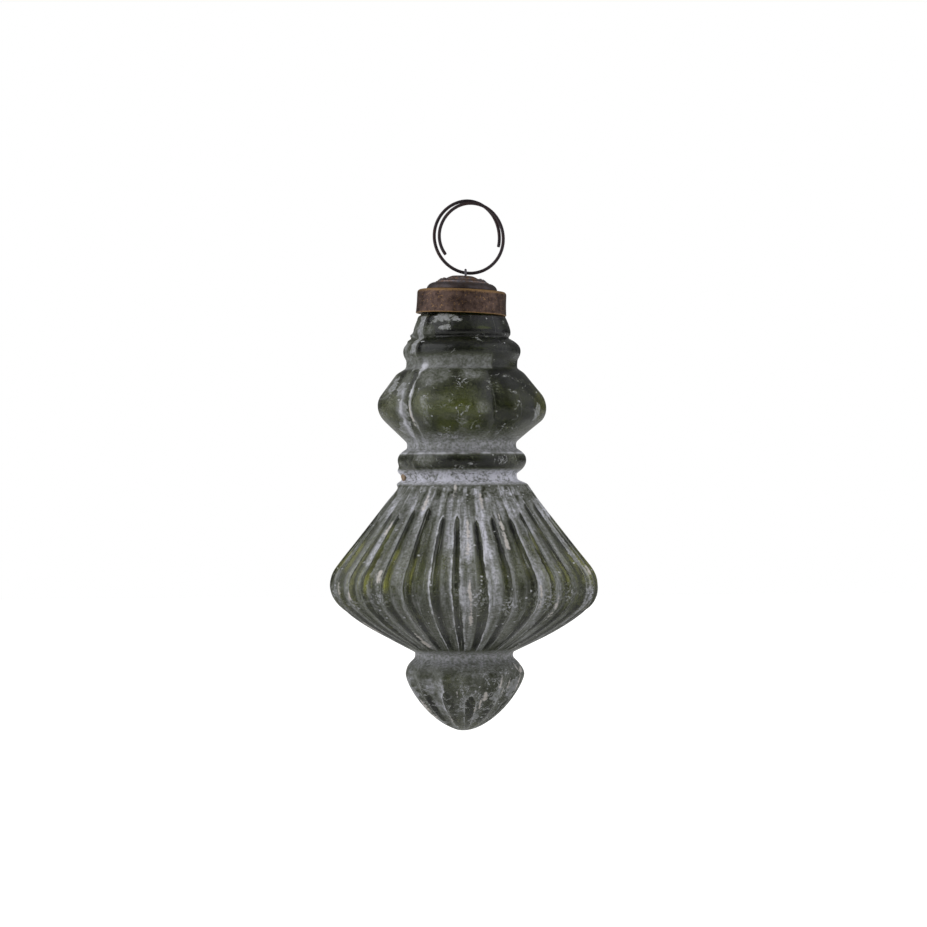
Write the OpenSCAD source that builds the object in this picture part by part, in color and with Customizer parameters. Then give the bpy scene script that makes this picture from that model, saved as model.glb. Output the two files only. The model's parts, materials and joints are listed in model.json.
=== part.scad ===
// Hanging glass bauble: a mould-blown, fluted finial drop with a two-piece metal cap,
// a wire eyelet and a wound wire hanging ring. Millimetres, +Z up.
// The origin is the hang point, inside the top of the ring, where a hook or ribbon bears.

/* [Glass stack, from the cap down] */
// Diameter of the straight neck inside the cap
neck_d = 22.4; // [19:0.2:22.6]
// Diameter of the shoulder below the cap
shoulder_d = 27.1; // [25.4:0.1:29]
// Height of the shoulder
shoulder_h = 6.4; // [5:0.1:9]
// Depth of the crease under the shoulder
crease_depth = 0.6; // [0.2:0.1:1]
// Diameter of the upper bead
upper_bead_d = 32.6; // [31.4:0.1:36]
// Height of the upper bead
upper_bead_h = 7.0; // [5:0.1:10]
// Diameter of the throat between the upper bead and the bulb
throat_d = 30.7; // [28:0.1:32]
// Diameter of the lobed bulb
bulb_d = 47.2; // [40:0.2:54]
// Height of the bulb, throat to waist
bulb_h = 22.8; // [18:0.2:30]
// Radius of the bulb's rounded rim
bulb_rim_r = 5.5; // [4:0.1:7]
// Diameter of the bulb's upper edge, where its upper cone starts
bulb_brow_d = 35.6; // [33:0.1:38]
// Height of the step from the throat to that edge
bulb_brow_h = 2.2; // [1.2:0.1:3.5]
// Diameter of the waist below the bulb
waist_d = 30.2; // [27:0.1:33]
// Diameter of the lower bead
lower_bead_d = 35.7; // [33.6:0.1:40]
// Height of the lower bead
lower_bead_h = 8.7; // [6:0.1:12]
// Diameter of the groove above the belly
collar_d = 29.8; // [27:0.1:33]
// Diameter of the belly's upper edge, where the flutes start
brow_d = 35.0; // [33:0.1:40]
// Height of the rounded step from the groove to that edge
brow_h = 1.2; // [0.8:0.1:3]
// Widest diameter of the fluted belly
belly_d = 75; // [64:0.5:90]
// Radius of the belly's rounded rim
belly_rim_r = 8.0; // [5:0.1:12]
// Height from the groove above the belly to its widest level
belly_upper_h = 29.9; // [22:0.1:40]
// Height from the widest level to the ankle
belly_lower_h = 19.3; // [15:0.1:26]
// How far the belly's lower side bulges past a straight cone
belly_bulge = 1.1; // [0:0.1:2]
// Diameter of the ankle between belly and finial
ankle_d = 27.1; // [22:0.1:30]
// Diameter of the finial
finial_d = 33.6; // [31:0.1:40]
// Height of the finial from the ankle to its widest level
finial_crown_h = 5.5; // [4:0.1:8]
// Height of the finial from its widest level to the tip
finial_drop_h = 15.4; // [12:0.2:24]
// Height of the flat land at the bottom of each groove
groove_h = 1.6; // [0.8:0.1:2.4]
// Thickness of the blown wall
glass_wall = 1.8; // [1.2:0.1:2.6]

/* [Glass relief] */
// Number of flutes round the belly
flute_count = 33; // [24:1:40]
// Depth of a flute at the widest level
flute_depth = 1.7; // [0.5:0.1:2]
// Number of lobes round the bulb
lobe_count = 5; // [4:1:8]
// Depth of the grooves between the lobes
lobe_depth = 2.4; // [0.6:0.1:3]
// Number of flutes on the finial
finial_flute_count = 13; // [9:1:16]
// Depth of the finial's flutes
finial_flute_depth = 0.9; // [0.2:0.1:1.2]
// Height of the ridges left by the two halves of the mould
seam_h = 0.6; // [0.2:0.05:0.8]
// Direction of one mould seam, seen from above; the other is opposite
seam_azimuth = -136.5; // [-180:0.5:180]

/* [Cap] */
// Height of the cap band
band_h = 6.6; // [5.4:0.1:9]
// Sheet thickness of the band
band_wall = 0.6; // [0.4:0.05:0.8]
// Radius of the band's rounded top edge
band_edge_r = 0.9; // [0.5:0.1:1.4]
// Outward flare of the band's lower edge
band_flare = 0.2; // [0:0.05:0.5]
// Cement thickness between neck and band, and above the mouth of the neck
cement_t = 0.45; // [0.3:0.05:0.7]
// Sheet thickness of the stamped crown
crown_sheet = 0.5; // [0.3:0.05:0.7]
// Diameter of the crown's lower dome
dome_d = 19.6; // [17.6:0.2:21]
// Height of the lower dome
dome_h = 2.2; // [1.6:0.1:3.5]
// Diameter of the petalled tier
rosette_d = 14.4; // [12.4:0.2:16.4]
// Height of the petalled tier
rosette_h = 1.0; // [0.8:0.1:1.6]
// Diameter of the top boss at its foot
boss_d = 9.0; // [8:0.2:10]
// Diameter of the boss's flat top
boss_top_d = 5.8; // [5.2:0.1:6.6]
// Height of the top boss
boss_h = 0.9; // [0.7:0.1:1.4]
// Number of petals pressed into the crown
petal_count = 12; // [8:1:16]
// Radius of the ball that forms a petal
petal_r = 1.3; // [1:0.1:1.5]
// How far a petal stands proud of its tier
petal_proud = 0.3; // [0.2:0.05:0.5]

/* [Eyelet and ring] */
// Thickness of the eyelet wire
eyelet_wire = 0.65; // [0.5:0.05:0.8]
// Play between the ring wire and the inside of the eyelet
eyelet_play = 0.15; // [0.1:0.05:0.3]
// How far the hand-punched eyelet sits to the right of the cap's axis
eyelet_offset = 1.2; // [-1.2:0.1:1.2]
// Radius at which the eyelet's legs are splayed under the crown
leg_bend_r = 0.8; // [0.7:0.1:1.4]
// Angle by which the legs are splayed
leg_splay = 60; // [30:5:75]
// Length of a splayed leg past its bend
leg_length = 3; // [1.5:0.1:4]
// Thickness of the ring wire
ring_wire = 0.9; // [0.7:0.05:1.2]
// Width of the ring over the middle of its wire
ring_d = 19.2; // [16:0.2:26]
// Height of the ring over its width
ring_stretch = 1.05; // [1:0.01:1.15]
// Turns of wire in the ring
ring_turns = 1.65; // [1.5:0.01:1.7]
// Direction of the wire's first end, seen from the front
ring_start = 217; // [205:1:230]
// How far the wire's ends lie inside the outer turn
ring_nest = 1.4; // [1:0.1:2]
// Clear space between neighbouring turns, front to back
ring_turn_gap = 0.45; // [0.42:0.01:0.8]

/* [Hidden] */

// Clearance between pieces that seat on each other
fit_gap = 0.05;
// Clearance between the ring wire and the top of the crown
ring_lift = 0.3;
// Clearance between the band's lower edge and the glass shoulder
shoulder_gap = 0.25;
// Straight lengths of the eyelet wire are this much thinner all round than its bends,
// and run this far into them
bend_swell = 0.01;
bend_lap = 0.03;

// Samples round the glass: four to a flute, half as many on the round parts, a quarter inside
fluted_n = 4 * flute_count;
round_n = 2 * flute_count;
inner_n = flute_count;
// Steps along one side of a bead, a rounded rim, a cone and the finial's drop
outer_steps = [3, 4, 3, 6];
inner_steps = [1, 2, 1, 3];
// How full each rounded side is: 1 is a straight cone, larger is rounder
shoulder_power = 1.3;
bead_power = 2.2;
finial_power = 1.8;
// Exponents of the finial's pointed-arch outline
ogive_along = 1.3;
ogive_round = 0.57;
// Where the widest level of each bead and of the bulb lies, as a share of its height
upper_bead_peak = 0.53;
bulb_peak = 0.535;
lower_bead_peak = 0.46;
// Share of the lobes' depth that the inside of the bulb follows
inner_lobe_share = 0.8;
// Share of the step above the bulb that stays straight below the throat
throat_land_share = 0.3;
// Angle over which a mould seam rises from the surface
seam_half_angle = 5;

// Ring: a wound wire whose two ends nest inside the outer turn
ring_sides = 8;
ring_steps_per_turn = 48;
nest_in = [0.15, 0.60];
nest_out = [1.32, 1.62];
ring_pitch = ring_wire + ring_turn_gap;
function ease(x) = let (t = min(1, max(0, x))) t * t * (3 - 2 * t);
function ring_radius(t) =
    ring_d / 2
    - ring_nest * (1 - ease((t - nest_in[0]) / (nest_in[1] - nest_in[0])))
    - ring_nest * ease((t - nest_out[0]) / (nest_out[1] - nest_out[0]));
function ring_angle(t) = ring_start - 360 * t;
// Turn counts at which the wire passes the eyelet and the inside of the ring's top
eyelet_turn = (ring_start + 90) / 360;
top_turn = (ring_start - 90) / 360;
ring_centre_z = -(ring_radius(top_turn) * ring_stretch - ring_wire / 2);
function ring_point(t) = [
    ring_radius(t) * cos(ring_angle(t)),
    ring_pitch * (t - eyelet_turn),
    ring_centre_z + ring_stretch * ring_radius(t) * sin(ring_angle(t))
];

// Levels, from the swing axis down
pivot_z = ring_centre_z - ring_stretch * ring_radius(eyelet_turn);
axis_x = -eyelet_offset;
crown_top_z = pivot_z - ring_wire / 2 - ring_lift;
crown_h = dome_h + rosette_h + boss_h;
band_top_z = crown_top_z - crown_h;
band_bottom_z = band_top_z - band_h;
crown_rim_top_z = band_top_z - band_wall - fit_gap;
crown_rim_z = crown_rim_top_z - crown_sheet;
cement_top_z = crown_rim_z - fit_gap;
mouth_z = cement_top_z - cement_t - fit_gap;
shoulder_z = band_bottom_z - shoulder_gap;
shoulder_end_z = band_bottom_z - shoulder_h;
throat_z = shoulder_end_z - upper_bead_h;
bulb_z = throat_z - bulb_h * bulb_peak;
waist_z = throat_z - bulb_h;
collar_z = waist_z - lower_bead_h;
belly_z = collar_z - belly_upper_h;
ankle_z = belly_z - belly_lower_h;
finial_z = ankle_z - finial_crown_h;
tip_z = finial_z - finial_drop_h;

// Cap radii, from the neck outwards
neck_r = neck_d / 2;
band_inner_r = neck_r + fit_gap + cement_t + fit_gap;
band_r = band_inner_r + band_wall;
eyelet_r = ring_wire / 2 + eyelet_play + eyelet_wire / 2;

// Share of the way from a groove to a peak that a rounded side has risen
function rounded(t, power) = 1 - pow(1 - t, power);
// Steps that crowd towards the start, where a rounded side is steepest
function crowded(i, steps) = pow(i / steps, 1.25);

// A station of the glass is [z, radius, samples, lobe depth, flute depth, finial flute depth].
function station(z, r, n, lobe = 0, flute = 0, tip = 0) = [z, r, n, lobe, flute, tip];

// Side that swells from a groove to a peak, without its peak
function swell(z0, r0, z1, r1, power, steps, n, tip = 0) = [
    for (i = [0 : steps - 1])
        let (t = crowded(i, steps), s = rounded(t, power))
            station(z0 + (z1 - z0) * t, r0 + (r1 - r0) * s, n, 0, 0, tip * s)
];
// Side that falls from a peak to a groove, without its groove
function fall(z0, r0, z1, r1, power, steps, n) = [
    for (i = [steps : -1 : 1])
        let (t = crowded(i, steps), s = rounded(t, power))
            station(z1 + (z0 - z1) * t, r1 + (r0 - r1) * s, n)
];
// Point where the line from p touches a circle, on the side that turn (1 or -1) says
function tangent_point(p, centre, r, turn) =
    let (
        d = centre - p,
        length = sqrt(d * d - r * r),
        angle = atan2(d[1], d[0]) + turn * asin(r / norm(d))
    )
    p + length * [cos(angle), sin(angle)];

// Two cones joined by a rounded rim, as points [radius, z] from brow to foot; the lower one may bulge
function two_cones(brow, foot, centre, rim_r, bulge, rim_steps, cone_steps) =
    let (
        upper = tangent_point(brow, centre, rim_r, 1),
        lower = tangent_point(foot, centre, rim_r, -1),
        from = atan2(upper[1] - centre[1], upper[0] - centre[0]),
        to = atan2(lower[1] - centre[1], lower[0] - centre[0]),
        run = foot - lower,
        outward = [-run[1], run[0]] / norm(run)
    )
    concat(
        [for (i = [0 : cone_steps - 1]) brow + (upper - brow) * pow(i / cone_steps, 1.5)],
        [for (i = [0 : rim_steps])
            let (a = from + (to - from) * i / rim_steps)
                centre + rim_r * [cos(a), sin(a)]],
        [for (i = [1 : cone_steps])
            let (t = i / cone_steps)
                lower + run * t + outward * bulge * sin(180 * t)]
    );

// Bulb: two cones with a rounded rim, lobed most where it is widest
function bulb(inset, n, depth, steps) =
    let (
        land_z = throat_z - groove_h / 2,
        throat_r = throat_d / 2 - inset,
        waist_r = waist_d / 2 - inset,
        points = two_cones(
            [bulb_brow_d / 2 - inset, land_z - bulb_brow_h], [waist_r, waist_z + groove_h / 2],
            [bulb_d / 2 - bulb_rim_r, bulb_z], bulb_rim_r - inset, 0, steps[1], steps[2]),
        rise = (bulb_d - waist_d) / 2
    )
    concat(
        [station(land_z, throat_r, n), station(land_z - bulb_brow_h * throat_land_share, throat_r, n)],
        [for (p = points) station(p[1], p[0], n, depth * min(1, max(0, (p[0] - waist_r) / rise)))]
    );

// Belly: two cones with a rounded rim, fluted from the brow to the ankle
function belly(inset, n, depth, steps) =
    let (
        points = two_cones(
            [brow_d / 2 - inset, collar_z - groove_h / 2 - brow_h],
            [ankle_d / 2 - inset, ankle_z + groove_h / 2],
            [belly_d / 2 - belly_rim_r, belly_z], belly_rim_r - inset, belly_bulge, steps[1], steps[2]),
        last = len(points) - 1
    )
    concat(
        [station(collar_z - groove_h / 2, collar_d / 2 - inset, n)],
        [for (i = [0 : last])
            let (p = points[i], share = i == 0 || i == last ? 0 : p[0] / (belly_d / 2))
                station(p[1], p[0], n, 0, depth * share)]
    );

// Finial: a rounded shoulder, then a pointed arch to the tip
function finial(inset, n, depth, steps) =
    let (
        peak_r = finial_d / 2 - inset,
        drop = finial_drop_h - inset,
        drop_steps = steps[3],
        crown_steps = max(1, steps[0] - 1)
    )
    concat(
        swell(ankle_z - groove_h / 2, ankle_d / 2 - inset, finial_z, peak_r,
            finial_power, crown_steps, n, depth),
        [for (i = [0 : drop_steps - 1])
            let (
                u = 1 - pow(1 - i / drop_steps, 1.4),
                r = peak_r * pow(1 - pow(u, ogive_along), ogive_round)
            )
                station(finial_z - drop * u, r, n, 0, 0, depth * r / peak_r)],
        [station(finial_z - drop, 0, 1)]
    );

// Rounded swelling between two grooves, from the foot of one land to the head of the next
function bead(z0, d0, peak, d, z1, d1, inset, steps, n) =
    let (
        from = z0 - groove_h / 2,
        to = z1 + groove_h / 2,
        peak_z = z0 + (z1 - z0) * peak
    )
    concat(
        swell(from, d0 / 2 - inset, peak_z, d / 2 - inset, bead_power, steps, n),
        fall(peak_z, d / 2 - inset, to, d1 / 2 - inset, bead_power, steps, n),
        [station(to, d1 / 2 - inset, n)]
    );

// Whole outline of the glass, from the mouth to the tip, drawn in by inset; relief holds the depths
// of its lobes, flutes and finial flutes
function glass_stations(inset, n_round, n_fluted, relief, steps) = concat(
    [station(mouth_z, neck_r - inset, n_round), station(shoulder_z, neck_r - inset, n_round)],
    swell(shoulder_z - fit_gap, band_r - band_wall / 2 - inset, shoulder_end_z + groove_h,
        shoulder_d / 2 - inset, shoulder_power, steps[0], n_round),
    [station(shoulder_end_z + groove_h, shoulder_d / 2 - inset, n_round)],
    bead(shoulder_end_z + groove_h / 2, shoulder_d - 2 * crease_depth, upper_bead_peak, upper_bead_d,
        throat_z, throat_d, inset, steps[0], n_round),
    bulb(inset, n_round, relief[0], steps),
    bead(waist_z, waist_d, lower_bead_peak, lower_bead_d, collar_z, collar_d, inset, steps[0], n_round),
    belly(inset, n_fluted, relief[1], steps),
    finial(inset, n_fluted, relief[2], steps)
);

// Position inside one of count repeats, 0 to 1, counted from the seam
function phase(a, count) = let (x = (a - seam_azimuth) * count / 360) x - floor(x);
function flute_shape(u) = 1 - pow(2 * u - 1, 2);
function lobe_shape(u) = pow(1 - sin(180 * u), 1.6);
function wave_shape(u) = (1 - cos(360 * u)) / 2;
// Height of a seam at one angle
function seam_shape(a) =
    let (u = phase(a, 2), off = min(u, 1 - u) * 180)
        max(0, 1 - off / seam_half_angle);

function glass_radius(s, a, seam) =
    s[1]
    - s[3] * lobe_shape(phase(a, lobe_count))
    - s[4] * flute_shape(phase(a, flute_count))
    - s[5] * wave_shape(phase(a, finial_flute_count))
    + seam * seam_shape(a);
// Points of one station's ring; a seam shows only on the outside, below the neck
function glass_ring(s, seam) = s[2] == 1
    ? [[0, 0, s[0]]]
    : [for (i = [0 : s[2] - 1])
        let (
            a = seam_azimuth + 360 * i / s[2],
            r = glass_radius(s, a, s[0] < shoulder_z ? seam : 0)
        )
            [r * cos(a), r * sin(a), s[0]]];

// Triangles between two rings, where one count is a whole multiple of the other
function stitch(a0, na, b0, nb) = nb >= na
    ? let (k = nb / na) concat(
        [for (i = [0 : na - 1], j = [0 : k - 1])
            [a0 + i, b0 + (k * i + j + 1) % nb, b0 + k * i + j]],
        na == 1 ? [] : [for (i = [0 : na - 1])
            [a0 + i, a0 + (i + 1) % na, b0 + (k * (i + 1)) % nb]])
    : let (k = na / nb) concat(
        [for (i = [0 : nb - 1], j = [0 : k - 1])
            [b0 + i, a0 + k * i + j, a0 + (k * i + j + 1) % na]],
        nb == 1 ? [] : [for (i = [0 : nb - 1])
            [b0 + i, a0 + (k * (i + 1)) % na, b0 + (i + 1) % nb]]);
// Index of each ring's first point
function starts(list, i = 0, sum = 0, out = []) =
    i == len(list) ? out : starts(list, i + 1, sum + list[i][2], concat(out, [sum]));
function reversed(list) = [for (i = [len(list) - 1 : -1 : 0]) list[i]];
function flat(lists) = [for (list = lists, x = list) x];

// Mould-blown shell: outside down to the tip, inside back up to the mouth
module glass_body() {
    outside = glass_stations(0, round_n, fluted_n,
        [lobe_depth, flute_depth, finial_flute_depth], outer_steps);
    inside = reversed(glass_stations(glass_wall, inner_n, inner_n,
        [inner_lobe_share * lobe_depth, 0, 0], inner_steps));
    cavity = [for (s = inside)
        let (under_flutes = s[0] < collar_z - groove_h && s[0] > ankle_z + groove_h)
            station(s[0], s[1] - (under_flutes ? flute_depth : 0), s[2], s[3])];
    rings = concat(outside, cavity);
    first = starts(rings);
    last = len(rings) - 1;
    points = flat([for (i = [0 : last]) glass_ring(rings[i], i < len(outside) ? seam_h : 0)]);
    faces = flat([for (i = [0 : last])
        if (i != len(outside) - 1)
            let (j = i == last ? 0 : i + 1)
                stitch(first[i], rings[i][2], first[j], rings[j][2])]);
    color([0.30, 0.34, 0.24]) translate([axis_x, 0, 0]) polyhedron(points, faces, convexity = 10);
}

// Cement bed that bonds the cap to the neck: a sleeve with a lip over the mouth
module cap_cement() {
    sleeve_r = neck_r + fit_gap;
    outer_r = band_inner_r - fit_gap;
    color([0.82, 0.80, 0.76]) translate([axis_x, 0, 0]) rotate_extrude($fn = 96) polygon([
        [neck_r - glass_wall, cement_top_z],
        [neck_r - glass_wall, mouth_z + fit_gap],
        [sleeve_r, mouth_z + fit_gap],
        [sleeve_r, band_bottom_z + band_wall],
        [outer_r, band_bottom_z + band_wall],
        [outer_r, cement_top_z]
    ]);
}

function arc(centre, r, from, to, steps) = [
    for (i = [0 : steps]) let (a = from + (to - from) * i / steps) centre + r * [cos(a), sin(a)]
];

// Band: a drawn ring with a rounded top edge turned in over the crown's rim
module cap_band() {
    lip_r = dome_d / 2 + fit_gap;
    edge_steps = 6;
    outline = concat(
        [[band_inner_r, band_bottom_z], [band_r + band_flare, band_bottom_z]],
        [[band_r, band_bottom_z + band_h / 4]],
        arc([band_r - band_edge_r, band_top_z - band_edge_r], band_edge_r, 0, 90, edge_steps),
        [[lip_r, band_top_z], [lip_r, band_top_z - band_wall], [band_inner_r, band_top_z - band_wall]]
    );
    color([0.36, 0.27, 0.21]) translate([axis_x, 0, 0]) rotate_extrude($fn = 96) polygon(outline);
}

// Outline of the crown's tiers from the dome's foot to the axis, drawn in by inset
tier_steps = 4;
function tier(r0, r1, z0, h) = [
    for (i = [0 : tier_steps]) let (a = 90 * i / tier_steps) [r1 + (r0 - r1) * cos(a), z0 + h * sin(a)]
];
function crown_outline(inset) =
    let (foot_z = band_top_z - inset)
    concat(
        tier(dome_d / 2 - inset, rosette_d / 2 - inset, foot_z, dome_h),
        tier(rosette_d / 2 - inset / 2, boss_d / 2 - inset, foot_z + dome_h, rosette_h),
        tier(boss_d / 2 - inset / 2, boss_top_d / 2 - inset, foot_z + dome_h + rosette_h, boss_h),
        [[0, crown_top_z - inset]]
    );
// Crown: a stamped dome in three tiers, with petals round the middle tier and a rim under the band's lip
module cap_crown() {
    petal_ring_r = (rosette_d + boss_d) / 4;
    petal_z = band_top_z + dome_h + rosette_h * 0.85 + petal_proud - petal_r;
    color([0.30, 0.26, 0.26]) translate([axis_x, 0, 0]) difference() {
        union() {
            rotate_extrude($fn = 96) polygon(concat(
                crown_outline(0),
                [[0, crown_rim_z], [band_inner_r - fit_gap, crown_rim_z]],
                [[band_inner_r - fit_gap, crown_rim_top_z], [dome_d / 2, crown_rim_top_z]]
            ));
            for (i = [0 : petal_count - 1])
                rotate([0, 0, 360 * i / petal_count])
                    translate([petal_ring_r, 0, petal_z]) sphere(petal_r, $fn = 32);
        }
        rotate_extrude($fn = 96) polygon(concat(
            crown_outline(crown_sheet),
            [[0, crown_rim_z - 1], [dome_d / 2 - crown_sheet, crown_rim_z - 1]]
        ));
        for (side = [-1, 1])
            translate([eyelet_offset, side * eyelet_r, crown_top_z - crown_sheet * 2])
                cylinder(r = eyelet_wire / 2 + fit_gap, h = crown_sheet * 3, $fn = 32);
    }
}

// Eyelet: a staple bent over the ring wire, its legs splayed under the crown
module eyelet() {
    bend_z = crown_top_z - crown_sheet - fit_gap;
    straight_d = eyelet_wire - 2 * bend_swell;
    color([0.35, 0.34, 0.35]) union() {
        translate([0, 0, pivot_z]) rotate([90, 0, 90])
            rotate_extrude(angle = 180, $fn = 64) translate([eyelet_r, 0]) circle(d = eyelet_wire, $fn = 24);
        for (side = [0, 180]) rotate([0, 0, side]) translate([0, eyelet_r, 0]) {
            translate([0, 0, bend_z - bend_lap])
                cylinder(d = straight_d, h = pivot_z - bend_z + 2 * bend_lap, $fn = 24);
            translate([0, leg_bend_r, bend_z]) rotate([90, 0, 90]) rotate([0, 0, 180])
                rotate_extrude(angle = leg_splay, $fn = 64)
                    translate([leg_bend_r, 0]) circle(d = eyelet_wire, $fn = 24);
            translate([0, leg_bend_r * (1 - cos(leg_splay)), bend_z - leg_bend_r * sin(leg_splay)])
                rotate([180 + leg_splay, 0, 0]) translate([0, 0, -bend_lap])
                    cylinder(d = straight_d, h = leg_length + bend_lap, $fn = 24);
        }
    }
}

ring_steps = round(ring_turns * ring_steps_per_turn);
ring_path = [for (i = [0 : ring_steps]) ring_point(ring_turns * i / ring_steps)];
// Least clear gap between points of the ring that lie half a turn or more apart along the wire
ring_self_gap = min([
    for (i = [0 : ring_steps], j = [0 : ring_steps])
        if (j - i > ring_steps_per_turn / 2) norm(ring_path[i] - ring_path[j]) - ring_wire
]);
echo(ring_self_gap = ring_self_gap);

// Hanging ring: one wire wound past a full turn, its square-cut ends inside the outer turn
module hanging_ring() {
    points = flat([for (i = [0 : ring_steps])
        let (
            along = ring_path[min(ring_steps, i + 1)] - ring_path[max(0, i - 1)],
            side = [0, 1, 0] - along * (along[1] / (along * along)),
            u = side / norm(side),
            v = cross(along / norm(along), u)
        )
            [for (k = [0 : ring_sides - 1])
                let (a = 360 * k / ring_sides)
                    ring_path[i] + ring_wire / 2 * (cos(a) * u + sin(a) * v)]]);
    walls = [for (i = [0 : ring_steps - 1], k = [0 : ring_sides - 1])
        let (a = i * ring_sides, b = a + ring_sides, n = (k + 1) % ring_sides)
            each [[a + k, b + k, b + n], [a + k, b + n, a + n]]];
    start_cap = [for (k = [0 : ring_sides - 1]) k];
    end_cap = [for (k = [ring_sides - 1 : -1 : 0]) ring_steps * ring_sides + k];
    color([0.17, 0.15, 0.15]) polyhedron(points, concat(walls, [start_cap, end_cap]), convexity = 6);
}

glass_body();
cap_cement();
cap_band();
cap_crown();
eyelet();
hanging_ring();
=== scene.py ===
"""Looks of the hanging glass bauble: limewashed mould-blown glass, bronzed cap, wire eyelet and ring."""
import json
import math

import bpy
import numpy as np
from mathutils import Matrix, Vector

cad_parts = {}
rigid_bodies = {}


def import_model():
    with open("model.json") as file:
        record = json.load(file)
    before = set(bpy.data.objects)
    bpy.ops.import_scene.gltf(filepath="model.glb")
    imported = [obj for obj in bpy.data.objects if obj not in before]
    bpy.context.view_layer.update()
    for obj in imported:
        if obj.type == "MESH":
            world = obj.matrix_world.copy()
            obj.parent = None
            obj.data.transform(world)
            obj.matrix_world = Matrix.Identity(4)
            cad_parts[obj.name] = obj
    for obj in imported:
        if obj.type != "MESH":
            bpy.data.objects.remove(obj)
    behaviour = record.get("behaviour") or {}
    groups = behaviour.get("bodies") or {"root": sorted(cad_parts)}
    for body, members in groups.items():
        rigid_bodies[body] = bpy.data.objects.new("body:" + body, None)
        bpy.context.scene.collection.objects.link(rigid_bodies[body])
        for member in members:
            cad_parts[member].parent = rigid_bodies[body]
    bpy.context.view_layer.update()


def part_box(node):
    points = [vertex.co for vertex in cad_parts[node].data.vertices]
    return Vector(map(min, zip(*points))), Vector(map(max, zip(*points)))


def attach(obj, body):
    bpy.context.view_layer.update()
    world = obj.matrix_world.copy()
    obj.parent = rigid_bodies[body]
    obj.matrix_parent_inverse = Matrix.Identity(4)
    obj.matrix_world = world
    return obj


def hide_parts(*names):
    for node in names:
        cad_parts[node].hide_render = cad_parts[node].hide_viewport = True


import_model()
scene = bpy.context.scene
scene.view_settings.view_transform = "Standard"

MM = 0.001
chance = np.random.default_rng(33)

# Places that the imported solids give, in millimetres
band_low, band_high = (np.array(corner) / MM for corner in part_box("cap_band"))
AXIS_X = (band_low[0] + band_high[0]) / 2
BAND_TOP, BAND_BOTTOM = band_high[2], band_low[2]
CROWN_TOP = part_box("cap_crown")[1][2] / MM
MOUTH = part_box("glass_body")[1][2] / MM


# Camera: the photograph's frame, seen level from the front with a long lens. Lengths are in millimetres,
# and the bauble hangs askew in the frame by a fraction of a degree.
PHOTO_SIDE_PX = 927
SENSOR_WIDTH = 36
FOCAL_PX = 2575
VIEW_DISTANCE = 712.6
EYE_HEIGHT = -71.5
CAMERA_SHIFT = 0.25
HANGING_LEAN = 0.4


def make_camera():
    data = bpy.data.cameras.new("photo_camera")
    data.sensor_width = SENSOR_WIDTH
    data.lens = FOCAL_PX / PHOTO_SIDE_PX * SENSOR_WIDTH
    data.clip_start = 10 * MM
    camera = bpy.data.objects.new("photo_camera", data)
    scene.collection.objects.link(camera)
    camera.location = ((AXIS_X + CAMERA_SHIFT) * MM, -VIEW_DISTANCE * MM, EYE_HEIGHT * MM)
    camera.rotation_euler = (math.radians(90), math.radians(HANGING_LEAN), 0)
    scene.camera = camera


make_camera()


# Materials

def linear(hex_colour):
    """An sRGB hex colour as linear RGBA."""
    parts = [int(hex_colour[i:i + 2], 16) / 255 for i in (1, 3, 5)]
    return [c / 12.92 if c <= 0.04045 else ((c + 0.055) / 1.055) ** 2.4 for c in parts] + [1.0]


def add(tree, kind, inputs=None, out=0, **settings):
    """Adds a shader node and gives back one of its outputs. Settings are the node's properties, and inputs
    are its sockets' values or what feeds them. A Mix node takes its share at 0 and two numbers at 2 and 3,
    or its share at 0 and two colours at 6 and 7, and then gives the mixed colour at output 2."""
    made = tree.nodes.new("ShaderNode" + kind)
    for name, value in settings.items():
        setattr(made, name, value)
    for name, value in (inputs or {}).items():
        if isinstance(value, bpy.types.NodeSocket):
            tree.links.new(value, made.inputs[name])
        else:
            made.inputs[name].default_value = value
    return made.outputs[out] if made.outputs else None


def new_material(name):
    material = bpy.data.materials.new(name)
    material.use_nodes = True
    material.node_tree.nodes.clear()
    return material, material.node_tree


def per_mm(size):
    """Texture scale at which one feature is size millimetres wide."""
    return 1 / (size * MM)


# What the wash did at each place of the glass, with the painted highlights, glints and shade laid in it,
# which its mesh keeps for the material
WASH_MARKS = ("across", "bridge", "fluted", "brushed", "channel_luck", "crust_and_lit_edge", "groove", "pool",
              "from_seam", "rib", "furrow", "deposit", "flake", "haze", "wiped", "scribbled", "scraped",
              "spatter_and_glints", "frost", "thinness")
# Sizes of the wash's patterns in millimetres, and how streaks and hair lines are drawn out down the wall
CLOUD, SWIRL, BLOTCH, SPECK, STREAK, GRAIN, HAIR = 11, 4.5, 3.6, 1.7, 1.3, 0.8, 0.4
STREAK_DRAWN, HAIR_DRAWN = 0.1, 0.033
# How far from the mould seam crust and film dried, and how thick they and the glass's ripples are
CRUST_FROM_SEAM, FILM_FROM_SEAM = 1.9, 2.3
WASH_RELIEF, GLASS_RELIEF = 0.3 * MM, 0.2 * MM


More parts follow.
